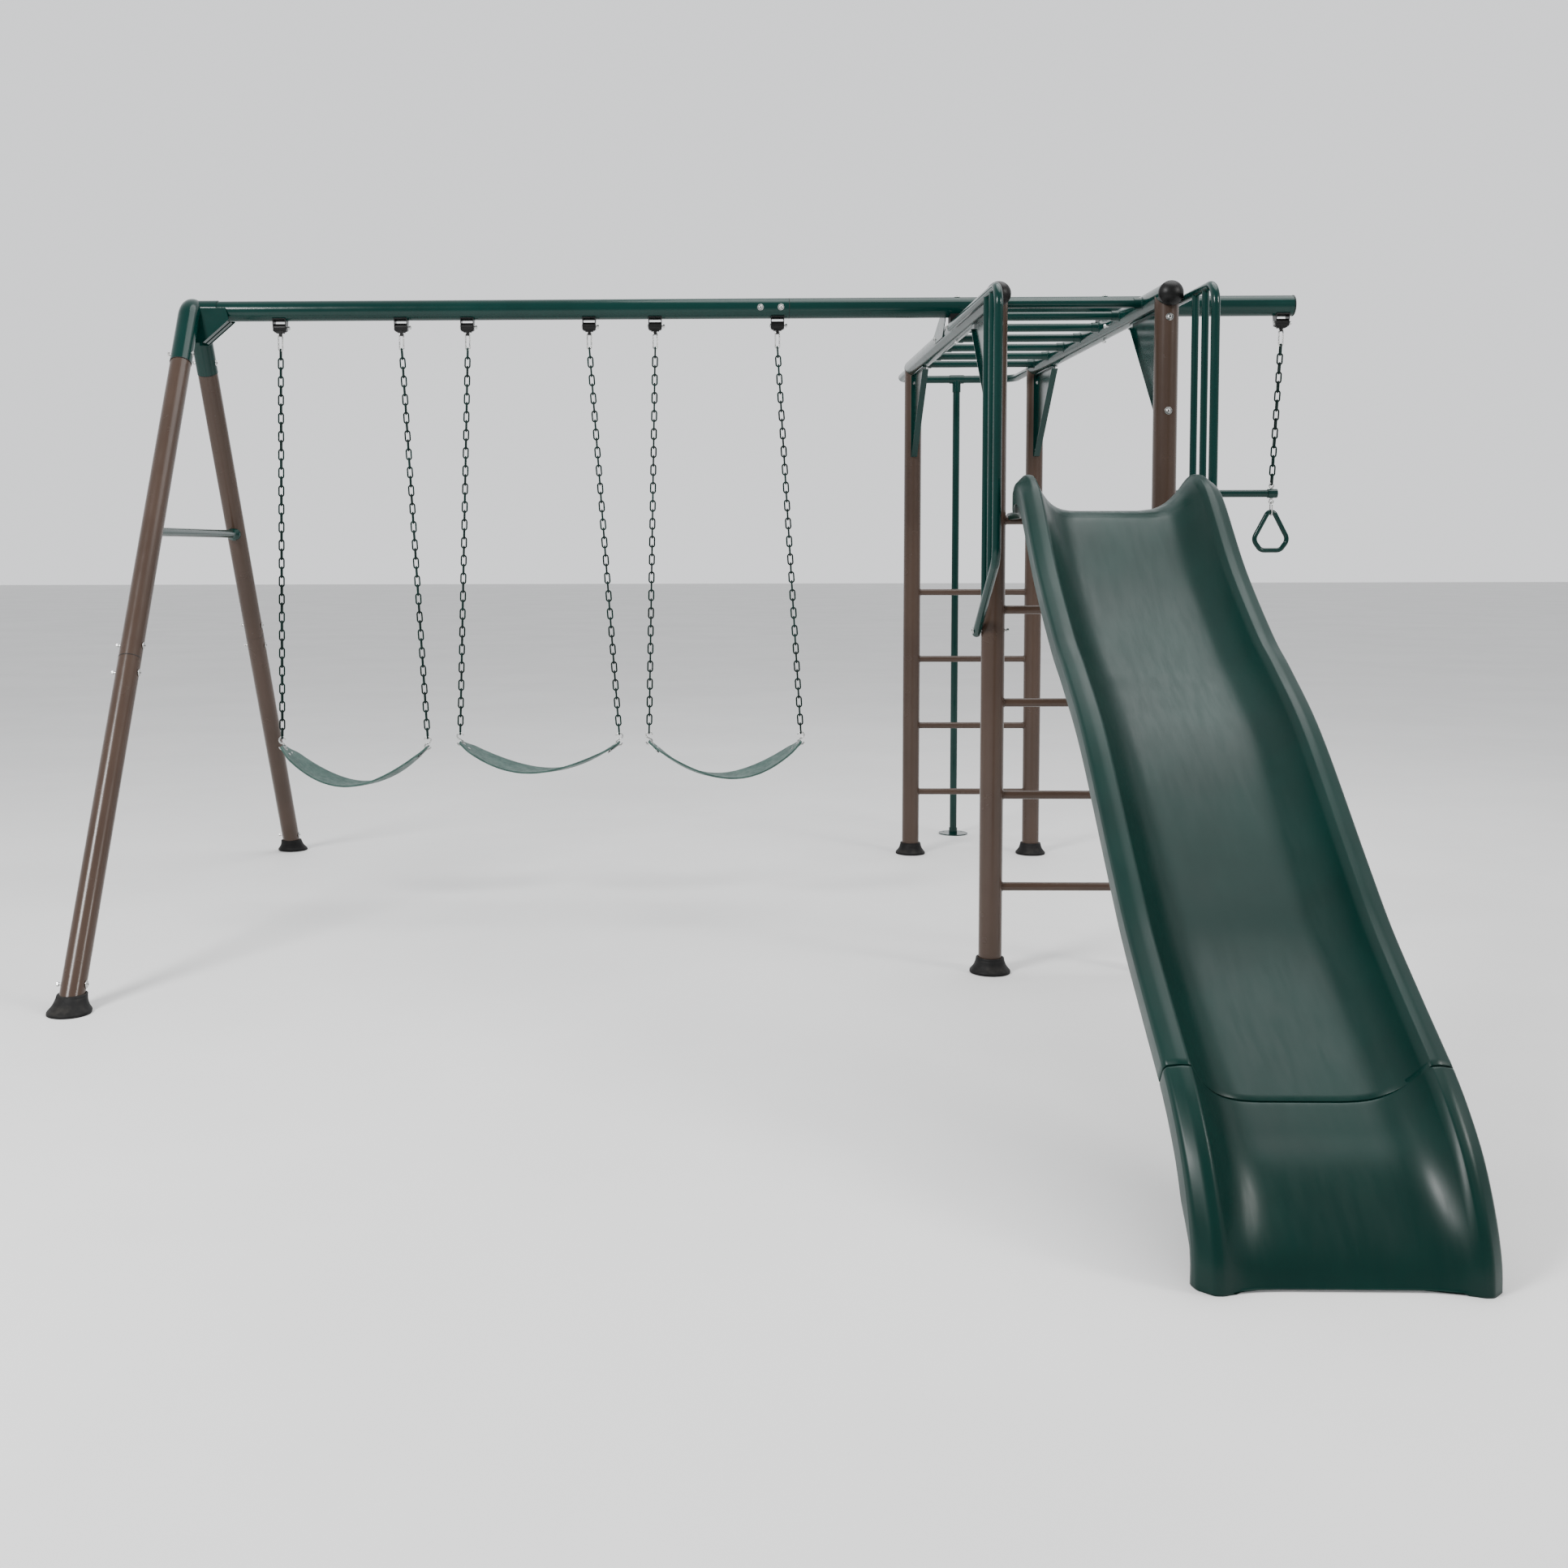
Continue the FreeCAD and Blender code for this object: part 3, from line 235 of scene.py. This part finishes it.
green_paint = paint("green_powder_coat", TEAL, gloss=0.17, coat=0.05, shine=0.3)
brown_paint = paint("brown_powder_coat", BROWN, gloss=0.24, coat=0.04, shine=0.3)
black_paint = paint("black_enamel", ENAMEL_BLACK, gloss=0.3, coat=0.0, shine=0.3)
black_rubber = moulded("boot_rubber", RUBBER_BLACK, roughness=0.6, grain=420, depth=0.0003, dust=0.08,
                        shine=0.18)
black_plastic = moulded("black_nylon", NYLON_BLACK, roughness=0.4, grain=800, depth=0.0001, shine=0.22)
chain_coat = moulded("chain_plastisol", CHAIN_GREEN, roughness=0.4, grain=300, depth=0.0001, worn=1.8,
                      shine=0.12)
# painted shade: the dark fill of bolt sockets, eyelet holes and the gaps of tube joints
painted_shade_black = moulded("painted_recess_shade", PAINTED_SHADE_BLACK, roughness=0.5, grain=500, depth=0.0001)
slide_skin = slide_plastic()
belt_skin = belt_polymer()
zinc = zinc_plate()

SLOT_LOOKS = {
    "green_paint": green_paint, "brown_paint": brown_paint, "black_paint": black_paint,
    "black_rubber": black_rubber, "black_plastic": black_plastic, "slide_plastic": slide_skin,
    "belt_polymer": belt_skin, "chain_coat": chain_coat, "zinc_steel": zinc,
}
for part in frame["record"]["subparts"]:
    node = nodes[part["node"]]
    node.data.materials.clear()
    node.data.materials.append(SLOT_LOOKS[part["material_slot"]])


# --- mesh helpers -------------------------------------------------------------------
def piece(name, verts, faces, look, body, stands_for=(), smooth=True):
    mesh = bpy.data.meshes.new(name)
    mesh.from_pydata([tuple(v) for v in verts], [], faces)
    mesh.validate()
    mesh.polygons.foreach_set("use_smooth", [smooth] * len(mesh.polygons))
    mesh.materials.append(look)
    obj = bpy.data.objects.new(name, mesh)
    bpy.context.scene.collection.objects.link(obj)
    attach(obj, body)
    if stands_for:
        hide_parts(*stands_for)
    return obj


class Pile:
    """Collects several closed shapes into one mesh."""

    def __init__(self):
        self.verts = []
        self.faces = []

    def add(self, verts, faces):
        base = len(self.verts)
        self.verts += verts
        self.faces += [tuple(base + i for i in face) for face in faces]


def grid_faces(rows, columns, loop_rows=False):
    """Quads between rows of closed rings."""
    faces = []
    for i in range(rows if loop_rows else rows - 1):
        for j in range(columns):
            a = i * columns + j
            b = i * columns + (j + 1) % columns
            c = ((i + 1) % rows) * columns
            faces.append((a, b, c + (j + 1) % columns, c + j))
    return faces


def side_axes(axis):
    """Two directions at right angles to the axis and to each other."""
    near_upright = 0.9
    helper = Z if abs(axis.z) < near_upright else X
    first = axis.cross(helper).normalized()
    return first, axis.cross(first).normalized()


def profile_height(profile):
    return max(height for _, height in profile)


def in_mm(profile):
    return [(radius * MM, height * MM) for radius, height in profile]


def lathe(profile, base, axis, steps=48, tip=None):
    """Turned shape from (radius, height) pairs; tip, if given, moves the top sideways."""
    e1, e2 = side_axes(axis)
    lean = (tip - base) / profile_height(profile) - axis if tip else Vector()
    verts = []
    for radius, height in profile:
        middle = base + (axis + lean) * height
        for k in range(steps):
            turn = 2 * math.pi * k / steps
            verts.append(middle + (e1 * math.cos(turn) + e2 * math.sin(turn)) * radius)
    faces = grid_faces(len(profile), steps)
    faces.append(tuple(reversed(range(steps))))
    faces.append(tuple(len(verts) - steps + k for k in range(steps)))
    return verts, faces


def islands(node):
    """Vertex positions of each separate solid of a CAD node."""
    mesh = nodes[node].data
    per_metre = 1e5          # vertices that round to the same hundredth of a millimetre are one
    where = {}
    owner = list(range(len(mesh.vertices)))

    def root(i):
        while owner[i] != i:
            owner[i] = owner[owner[i]]
            i = owner[i]
        return i

    for vertex in mesh.vertices:
        key = tuple(round(c * per_metre) for c in vertex.co)
        if key in where:
            owner[root(vertex.index)] = root(where[key])
        else:
            where[key] = vertex.index
    for edge in mesh.edges:
        owner[root(edge.vertices[0])] = root(edge.vertices[1])
    found = {}
    for vertex in mesh.vertices:
        found.setdefault(root(vertex.index), []).append(vertex.co.copy())
    return list(found.values())


# --- weld beads ---------------------------------------------------------------------
BEAD = 2.2 * MM
BEAD_POINTS = 64         # round the bar
BEAD_RING = 8            # round the bead itself
BEAD_RIPPLES = 17
RIPPLE_DEPTH = 0.16


def weld(pile, end, bar_axis, tube_axis, bar_r, tube_r):
    """Rippled bead where a round bar meets a round tube; end is on the tube's centre line."""
    across = bar_axis.cross(tube_axis).normalized()
    along = tube_axis.normalized()
    verts = []
    for k in range(BEAD_POINTS):
        turn = 2 * math.pi * k / BEAD_POINTS
        out = across * math.cos(turn) + along * math.sin(turn)
        reach = math.sqrt(max(tube_r ** 2 - (bar_r * math.cos(turn)) ** 2, 0.0))
        middle = end + bar_axis * reach + out * bar_r
        size = BEAD * (1 + RIPPLE_DEPTH * math.sin(turn * BEAD_RIPPLES))
        for j in range(BEAD_RING):
            spin = 2 * math.pi * j / BEAD_RING
            verts.append(middle + (out * math.cos(spin) + bar_axis * math.sin(spin)) * size)
    pile.add(verts, grid_faces(BEAD_POINTS, BEAD_RING, loop_rows=True))


rung_welds = Pile()
for bars in ("ladder_rungs", "slide_bar"):
    for bar in islands(bars):
        z = sum(v.z for v in bar) / len(bar)
        y = sum(v.y for v in bar) / len(bar)
        radius = max(v.z for v in bar) - z
        for side in (-1, 1):
            weld(rung_welds, Vector((TOWER_X + side * POST_HALF, y, z)), X * -side, Z, radius, POST_R)
piece("rung_welds", rung_welds.verts, rung_welds.faces, brown_paint, "frame")

bar_welds = Pile()
for bar in islands("monkey_bars"):
    y = (max(v.y for v in bar) + min(v.y for v in bar)) / 2
    radius = max(v.y for v in bar) - y
    for side in (-1, 1):
        weld(bar_welds, Vector((TOWER_X + side * POST_HALF, y, RAIL_Z)), X * -side, Y, radius, POST_R)
piece("overhead_bar_welds", bar_welds.verts, bar_welds.faces, green_paint, "frame")


# --- bolts --------------------------------------------------------------------------
# radius and height in millimetres
WASHER = ((4.2, 0.0), (11.4, 0.0), (12.0, 0.5), (12.0, 1.3), (11.4, 1.9), (8.0, 1.9))
HEX_SOCKET = ((3.4, 0.0), (3.4, 0.5), (2.9, 0.8), (0.6, 0.3))
HEAD_HEIGHT = 4.8 * MM
WASHER_SINK = 0.6 * MM       # into the tube's wall
SOCKET_SINK = 0.4 * MM       # into the head
SAME_LEVEL = 2e-5            # vertices this near a bolt's end count as its end face


def bolt_details():
    """A washer under each domed head and, on it, a near-black hexagon that paints the shade inside the
    socket.
    """
    washers = Pile()
    sockets = Pile()
    for bolt in islands("frame_bolts"):
        middle = sum(bolt, Vector()) / len(bolt)
        far = max(bolt, key=lambda v: (v - middle).length)
        axis = (far - middle).normalized()
        axis = max((X, Y, Z), key=lambda a: abs(a.dot(axis)))
        low = min(v.dot(axis) for v in bolt)
        high = max(v.dot(axis) for v in bolt)
        # the domed head has fewer vertices at its very end than the shank's flat end
        flat_low = sum(1 for v in bolt if v.dot(axis) - low < SAME_LEVEL)
        flat_high = sum(1 for v in bolt if high - v.dot(axis) < SAME_LEVEL)
        out = -axis if flat_low < flat_high else axis
        tip = high if out == axis else -low
        spine = middle - out * middle.dot(out)
        under = spine + out * (tip - HEAD_HEIGHT)
        washers.add(*lathe(in_mm(WASHER), under - out * WASHER_SINK, out, steps=32))
        # painted shade: a near-black hexagon on the head stands for the shaded inside of the socket
        sockets.add(*lathe(in_mm(HEX_SOCKET), spine + out * (tip - SOCKET_SINK), out, steps=6))
    piece("bolt_washers", washers.verts, washers.faces, zinc, "frame", smooth=False)
    piece("bolt_sockets", sockets.verts, sockets.faces, painted_shade_black, "frame", smooth=False)


bolt_details()


# --- rubber boots -------------------------------------------------------------------
# radius and height in millimetres, from inside the top lip down to the ground
BOOT = ((38.6, 46.0), (38.6, 50.5), (40.5, 52.0), (44.0, 52.0), (46.0, 50.4), (46.6, 47.0), (46.2, 44.6),
        (47.2, 43.6), (48.4, 38.0), (50.6, 31.0), (54.0, 24.0), (58.6, 17.5), (63.0, 12.6), (65.8, 9.6),
        (66.9, 7.2), (67.0, 4.6), (66.2, 3.6), (67.0, 2.4), (66.4, 0.6), (64.0, 0.0))
BOOT_END = 1 * MM            # vertices this near the boot's foot or top belong to it
LEAN_LEAST = 2 * MM          # a boot whose top stands off by less is upright


def boots():
    """Six turned boots; those of the end frame's legs lean with the leg."""
    pile = Pile()
    for boot in islands("boots"):
        foot = [v for v in boot if v.z < BOOT_END]
        top = [v for v in boot if v.z > max(b.z for b in boot) - BOOT_END]
        base = Vector(((min(v.x for v in foot) + max(v.x for v in foot)) / 2,
                       (min(v.y for v in foot) + max(v.y for v in foot)) / 2, 0))
        tip = Vector((base.x, (min(v.y for v in top) + max(v.y for v in top)) / 2, top[0].z))
        leans = abs(tip.y - base.y) > LEAN_LEAST
        pile.add(*lathe(in_mm(reversed(BOOT)), base, Z, 72, tip if leans else None))
    piece("rubber_boots", pile.verts, pile.faces, black_rubber, "frame", ("boots",))


boots()


# --- slide --------------------------------------------------------------------------
# lengths in this part are in millimetres unless they carry MM
# stations down the run, from the front posts' plane and the ground:
# y, z, slope of the floor in degrees, rim height, half width, drop of the rim's outer corner
UPPER = (
    (34, 1515.5, 0, 7, 231, 8), (-150, 1515.5, 0, 8, 231, 8), (-270, 1515.5, 0, 14, 243, 12),
    (-340, 1515.5, 0, 54, 268, 34), (-386, 1515.5, 1, 94, 286, 44), (-430, 1513, 6, 109, 292, 38),
    (-482, 1499, 26, 109, 292, 24), (-541, 1456, 41, 106, 292, 14), (-736, 1269, 39.5, 106, 292, 12),
    (-980, 1090, 31.5, 106, 292, 12),
    (-1121, 1009, 30, 106, 292, 12), (-1332, 873, 37, 106, 292, 12), (-1627, 616, 42, 106, 292, 12),
    (-1769, 496, 38.5, 106, 292, 12), (-1927, 385, 33, 106, 292, 12), (-2083, 283, 35, 104, 292, 12),
)
LOWER = (
    (-2086, 281, 35, 104, 292, 12), (-2155, 234, 36, 98, 292, 14), (-2235, 178, 44, 80, 292, 18),
    (-2305, 112, 58, 56, 292, 24), (-2354, 52, 74, 34, 292, 30), (-2376, 0, 90, 20, 292, 36),
)
SHELL = 7
SEAM_BOW = 16        # how far the seam's middle lies down the run from its ends
FLOOR_HALF = 80      # half width of the chute's flat floor
WALL_POWER = 3.2     # how the floor turns up into the wall
WALL_STEPS = 14
RIDGE_IN = 52        # rim's inner edge to the outside
SKIRT = 52           # depth of the outer skirt under the rim's outer corner
SKIRT_LEAST = 20
FILLET_POINTS = 6
FILLET_SHARE = 0.48  # most of a side that one corner's rounding may take
SUBSTEPS = 8         # cross-sections from one station to the next
UPPER_BOW_STEPS = 12     # sections over which the upper end takes up the seam's bow
LOWER_BOW_STEPS = 14     # sections over which the lower moulding loses it
# run down the slide and sink of the sections that round the upper lip and lead the lower edge under it
UPPER_LIP = ((0.8, 0.5), (1.4, 1.6), (1.5, 3.0))
LOWER_TUCK = ((-14, 3.6), (-0.5, 3.6), (0.6, 1.4), (2.2, 0.3))
FOOT_LIFT = 5 * MM       # the bottom edge stands off the ground by this between its corners
FOOT_HALF = 215 * MM


def fillet(points, radii):
    """Closed outline with each corner rounded by a fixed number of points."""
    outline = []
    count = len(points)
    for k, corner in enumerate(points):
        a = points[k - 1] - corner
        b = points[(k + 1) % count] - corner
        half = a.angle(b) / 2
        reach = min(radii[k] / max(math.tan(half), 1e-3), a.length * FILLET_SHARE, b.length * FILLET_SHARE)
        first = corner + a.normalized() * reach
        last = corner + b.normalized() * reach
        for j in range(FILLET_POINTS):
            t = j / (FILLET_POINTS - 1)
            outline.append(first * (1 - t) ** 2 + corner * 2 * t * (1 - t) + last * t ** 2)
    return outline


def slide_outline(rim, half, drop):
    """Right half of one cross-section: floor, wall, rolled rim, outer skirt and the underside."""
    ridge = half - RIDGE_IN
    corner = rim - drop
    skirt = min(max(corner - SKIRT, -SHELL), corner - SKIRT_LEAST)
    top = []
    below = []
    for k in range(WALL_STEPS + 1):
        t = k / WALL_STEPS
        steep = WALL_POWER * rim * t ** (WALL_POWER - 1) / (ridge - FLOOR_HALF)
        spread = SHELL / math.hypot(1, steep)
        x = FLOOR_HALF + (ridge - FLOOR_HALF) * t
        n = rim * t ** WALL_POWER
        top.append(Vector((x, n)))
        below.append(Vector((x + steep * spread, n - spread)))
    # across, up and the corner's radius: over the rim, down the skirt and back under the rim
    rolled = (
        (top[-1].x, rim, 0), (ridge + 5, rim + 1, 14), (ridge + 20, rim + 1, 60),
        (half - 4, rim - drop * 0.7, 24), (half, corner - 8, 14), (half, skirt, 3), (half - SHELL, skirt, 3),
        (half - SHELL - 2, max(corner - 18, skirt + 2), 6), (ridge + 14, rim - 10, 12),
        (below[-1].x, below[-1].y, 0),
    )
    edge = fillet([Vector((x, n)) for x, n, _ in rolled], [r for _, _, r in rolled])
    return top + edge[FILLET_POINTS:-FILLET_POINTS] + below[::-1]


def slide_ring(y, z, slope, rim, half, drop, run=0.0, sink=0.0, bow=0.0):
    """One cross-section; run moves it down the slide, sink draws it in and bow curves it."""
    right = slide_outline(rim, half, drop)
    outline = right + [Vector((-p.x, p.y)) for p in reversed(right)]
    angle = math.radians(slope)
    up = Vector((0, -math.sin(angle), math.cos(angle)))
    down = Vector((0, -math.cos(angle), -math.sin(angle)))
    base = Vector((TOWER_X, FRONT_Y + y * MM, z * MM))
    ring = []
    for p in outline:
        slip = run + bow * (1 - (p.x / half) ** 2)
        ring.append(base + (X * (p.x * (1 - sink / half)) + up * (p.y - sink) + down * slip) * MM)
    return ring


def between(a, b, c, d, t):
    """Smooth curve through b and c, led by a and d."""
    square = 2 * a - 5 * b + 4 * c - d
    cube = 3 * b - a - 3 * c + d
    return 0.5 * (2 * b + (c - a) * t + square * t * t + cube * t ** 3)


def fine_stations(table):
    """The table's rows with smooth steps put in between them."""
    rows = []
    last = len(table) - 1
    for k in range(last):
        four = [table[max(k - 1, 0)], table[k], table[k + 1], table[min(k + 2, last)]]
        for j in range(SUBSTEPS):
            rows.append([between(*values, j / SUBSTEPS) for values in zip(*four)])
    rows.append(list(table[-1]))
    return rows


def eased(t):
    t = min(max(t, 0.0), 1.0)
    return t * t * (3 - 2 * t)


def slide_part(name, rows, node):
    """Closed skin over a row of cross-sections, kept clear of the ground."""
    verts = [v for ring in rows for v in ring]
    columns = len(rows[0])
    faces = [tuple(reversed(face)) for face in grid_faces(len(rows), columns)]
    faces.append(tuple(range(columns)))
    faces.append(tuple(reversed(range(len(verts) - columns, len(verts)))))
    for v in verts:
        if v.z < FOOT_LIFT and abs(v.x - TOWER_X) < FOOT_HALF:
            v.z = FOOT_LIFT
        v.z = max(v.z, 0.0)
    return piece(name, verts, faces, slide_skin, "frame", (node,))


def slide_mouldings():
    """Both mouldings; the lower one's edge tucks under the upper one's rounded lip."""
    upper = fine_stations(UPPER)
    flat = len(upper) - 1 - UPPER_BOW_STEPS
    rows = []
    for k, row in enumerate(upper):
        rows.append(slide_ring(*row, bow=SEAM_BOW * eased((k - flat) / UPPER_BOW_STEPS)))
    for run, sink in UPPER_LIP:
        rows.append(slide_ring(*upper[-1], run=run, sink=sink, bow=SEAM_BOW))
    slide_part("slide_upper_shell", rows, "slide_upper")
    lower = fine_stations(LOWER)
    rows = []
    for run, sink in LOWER_TUCK:
        rows.append(slide_ring(*lower[0], run=run, sink=sink, bow=SEAM_BOW))
    for k, row in enumerate(lower[1:], 1):
        rows.append(slide_ring(*row, bow=SEAM_BOW * (1 - eased(k / LOWER_BOW_STEPS))))
    slide_part("slide_lower_shell", rows, "slide_lower")


slide_mouldings()


# --- belt seats ---------------------------------------------------------------------
BELT_THICK = 7 * MM
BELT_TIP_HALF = 34 * MM
BELT_SHOULDER = 46 * MM      # where the belt starts to narrow, from its end
BELT_HOLE = 14 * MM          # from the belt's end to its hole, along the belt
BELT_END_RUN = 0.75          # sideways run of each length along the belt near its end
BELT_CORNER = 12 * MM        # length over which the very end is rounded
BELT_DISH = 5 * MM           # how far the long edges turn up
BELT_END_GAP = 2.5 * MM      # the visual belt ends this short of the CAD belt's box
BELT_RISE = 6 * MM           # part of the box's height that isn't sag
BELT_ROWS = 96
BELT_SECTION = 36            # points round one cross-section
# radius and height in millimetres
EYELET = ((7.2, 0.0), (10.5, 0.0), (10.8, 0.6), (9.6, 1.3), (8.0, 1.3), (7.2, 0.7))
EYELET_HOLE = ((7.3, 0.0), (7.3, 0.75))
EYELET_SINK = 0.2 * MM


def belt_seat(index, twist):
    """Hanging belt: a sagging strip with beaded edges, narrowed and rounded at its ends, with
    an eyelet for each S-hook and a near-black disc in each eyelet's hole as painted shade."""
    node = "seat_%d_belt" % index
    low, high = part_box(node)
    middle = (low + high) / 2
    half_w = (high.y - low.y) / 2
    half = (high.x - low.x) / 2 - BELT_END_GAP
    sag = high.z - low.z - BELT_RISE
    body = "seat_%d" % index

    def spot(s):
        """Place and upward normal on the belt's middle line, with s from -1 to 1."""
        slope = math.atan2(2 * sag * s, half)
        place = Vector((middle.x + s * half, middle.y, low.z + BELT_THICK / 2 + sag * s * s))
        return place, Vector((-math.sin(slope), 0, math.cos(slope)))

    verts = []
    for i in range(BELT_ROWS):
        s = math.sin(math.pi / 2 * (2 * i / (BELT_ROWS - 1) - 1))
        place, normal = spot(s)
        from_end = (1 - abs(s)) * half
        narrow = eased(from_end / BELT_SHOULDER)
        width = BELT_TIP_HALF + (half_w - BELT_TIP_HALF) * narrow
        width *= math.sqrt(max(0.0, 1 - (1 - min(from_end / BELT_CORNER, 1.0)) ** 2)) * 0.35 + 0.65
        roll = math.radians(twist) * math.sin(math.pi * s)
        across = Y * math.cos(roll) + normal * math.sin(roll)
        normal = normal * math.cos(roll) - Y * math.sin(roll)
        dish = BELT_DISH * narrow * (1 - s ** 4)
        for j in range(BELT_SECTION):
            turn = 2 * math.pi * j / BELT_SECTION
            flat = max(-1.0, min(1.0, 1.08 * math.cos(turn)))
            edge_bead = 1 + 0.22 * math.exp(-((abs(flat) - 0.94) / 0.05) ** 2)
            height = math.copysign(abs(math.sin(turn)) ** 0.3, math.sin(turn)) * BELT_THICK / 2 * edge_bead
            verts.append(place + across * (flat * width) + normal * (height + dish * flat * flat))
    faces = [tuple(reversed(f)) for f in grid_faces(BELT_ROWS, BELT_SECTION)]
    faces.append(tuple(range(BELT_SECTION)))
    faces.append(tuple(reversed(range(len(verts) - BELT_SECTION, len(verts)))))
    piece("belt_%d" % index, verts, faces, belt_skin, body, (node,))

    eyelets = Pile()
    holes = Pile()
    for side in (-1, 1):
        place, normal = spot(side * (1 - BELT_HOLE / half * BELT_END_RUN))
        for face in (-1, 1):
            out = normal * face
            start = place + out * (BELT_THICK / 2 - EYELET_SINK)
            eyelets.add(*lathe(in_mm(EYELET), start, out, steps=32))
            # painted shade: a near-black disc fills each eyelet's hole in place of the hole's shaded inside
            holes.add(*lathe(in_mm(EYELET_HOLE), start, out, steps=24))
    piece("belt_%d_eyelets" % index, eyelets.verts, eyelets.faces, zinc, body)
    piece("belt_%d_eyelet_holes" % index, holes.verts, holes.faces, painted_shade_black, body,
          smooth=False)


BELT_TWISTS = ((1, -8.0), (2, -8.0), (3, 8.0))      # degrees each end is turned, to opposite sides
for number, belt_twist in BELT_TWISTS:
    belt_seat(number, belt_twist)


# --- seams in the tubes --------------------------------------------------------------
SEAM_R = 38.25 * MM
SEAM_WIDE = 2.4 * MM
SEAM_EDGE = 0.2 * MM         # how far the band's outer face stands in from its sides
SEAM_DEPTH = 1 * MM
CROWN_EXTRA = 1.5 * MM       # the crown's socket and the end cap are wider than the tube
CAP_EXTRA = 0.7 * MM
CAP_LIP = 6 * MM


# painted shade: a near-black band standing in for the shade in a joint's gap
def seam_band(pile, middle, axis, radius=SEAM_R):
    half = SEAM_WIDE / 2
    band = ((radius - SEAM_DEPTH, 0.0), (radius, SEAM_EDGE), (radius, 2 * half - SEAM_EDGE),
            (radius - SEAM_DEPTH, 2 * half))
    pile.add(*lathe(band, middle - axis * half, axis))


def tube_seam_shade():
    """Near-black bands that paint the shade in the gap where one tube of the frame slides into the next."""
    pile = Pile()
    for end in ("front", "rear"):
        lower, upper = centre("leg_lower_" + end), centre("leg_upper_" + end)
        axis = (upper - lower).normalized()
        lean = math.sqrt(1 - axis.z ** 2) * POST_R
        seam_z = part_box("leg_upper_" + end)[0].z + lean
        crown_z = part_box("end_crown")[0].z + lean
        for z, radius in ((seam_z, SEAM_R), (crown_z, SEAM_R + CROWN_EXTRA)):
            seam_band(pile, lower + axis * ((z - lower.z) / axis.z), axis, radius)
    seam_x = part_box("beam_left")[1].x
    seam_band(pile, Vector((seam_x, BEAM.y, BEAM.z)), X)
    cap_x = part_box("beam_end_cap")[1].x - CAP_LIP
    seam_band(pile, Vector((cap_x, BEAM.y, BEAM.z)), X, SEAM_R + CAP_EXTRA)
    piece("tube_seam_shade", pile.verts, pile.faces, painted_shade_black, "frame")


tube_seam_shade()


# --- light, floor and camera --------------------------------------------------------
SKY = (0.97, 0.98, 1.0, 1)
SKY_RAMP = (-0.7, 0.75, 0.5, 1.25)   # Y from and to, strength behind the viewer and behind the set
FLOOR_REACH = 60.0
FLOOR_DROP = 0.4 * MM
# name, place, target, diameter, power, colour
LIGHTS = (
    ("key", (-4.5, -5.0, 5.5), (0, 0, 0.8), 2.2, 620, (1, 1, 1)),
    ("side", (5.5, -3.5, 4.2), (0.5, 0, 1.0), 1.6, 170, (1.0, 0.98, 0.95)),
    ("top", (2.2, 0.4, 7.5), (0.8, 0, 0), 6.0, 360, (1, 1, 1)),
)
SENSOR = 36.0
LENS = 38.18
SHIFT_X = 0.0727
SHIFT_Y = -0.0873
STAND = Vector((TOWER_X - 1.215, FRONT_Y - 5.4639, 1.4062))
TURN_LEFT = 1.24         # degrees, as are the next two
LOOK_DOWN = 3.41
ROLL = -0.14


def area_light(name, place, target, size, power, colour):
    lamp = bpy.data.lights.new(name, "AREA")
    lamp.shape = "DISK"
    lamp.size = size
    lamp.energy = power
    lamp.color = colour
    obj = bpy.data.objects.new(name, lamp)
    obj.location = place
    obj.rotation_euler = (Vector(target) - Vector(place)).to_track_quat("-Z", "Y").to_euler()
    bpy.context.scene.collection.objects.link(obj)


def studio():
    """Sky that is brighter behind the set than behind the viewer, three soft discs and a pale floor."""
    world = bpy.data.worlds.new("studio")
    world.use_nodes = True
    tree = world.node_tree
    where = tree.nodes.new("ShaderNodeTexCoord")
    split = tree.nodes.new("ShaderNodeSeparateXYZ")
    ramp = tree.nodes.new("ShaderNodeMapRange")
    ramp.interpolation_type = "SMOOTHSTEP"
    for socket, value in zip(ramp.inputs[1:5], SKY_RAMP):
        socket.default_value = value
    tree.links.new(where.outputs["Generated"], split.inputs[0])
    tree.links.new(split.outputs["Y"], ramp.inputs[0])
    background = tree.nodes["Background"]
    background.inputs["Color"].default_value = SKY
    tree.links.new(ramp.outputs[0], background.inputs["Strength"])
    bpy.context.scene.world = world
    for light in LIGHTS:
        area_light(*light)
    mesh = bpy.data.meshes.new("floor")
    corners = [(x * FLOOR_REACH, y * FLOOR_REACH, 0) for x, y in ((-1, -1), (1, -1), (1, 1), (-1, 1))]
    mesh.from_pydata(corners, [], [(0, 1, 2, 3)])
    g = Graph("pale_floor")
    tone = g.mix(g.remap(g.noise(0.8, 4), 0.3, 0.7, 0.0, 1.0), FLOOR_DARK, FLOOR_PALE)
    mesh.materials.append(g.finish(tone, g.remap(g.noise(6, 4), 0.3, 0.7, 0.6, 0.75)))
    floor = bpy.data.objects.new("floor", mesh)
    floor.location.z = -FLOOR_DROP
    bpy.context.scene.collection.objects.link(floor)


studio()

# the camera as solved from the photograph's straight edges
camera_data = bpy.data.cameras.new("camera")
camera_data.sensor_width = SENSOR
camera_data.lens = LENS
camera_data.shift_x = SHIFT_X
camera_data.shift_y = SHIFT_Y
camera_data.clip_end = 200
camera = bpy.data.objects.new("camera", camera_data)
turn_left = Matrix.Rotation(math.radians(TURN_LEFT), 4, "Z")
look_down = Matrix.Rotation(math.radians(90 - LOOK_DOWN), 4, "X")
roll = Matrix.Rotation(math.radians(ROLL), 4, "Z")
camera.matrix_world = Matrix.Translation(STAND) @ turn_left @ look_down @ roll
bpy.context.scene.collection.objects.link(camera)
bpy.context.scene.camera = camera
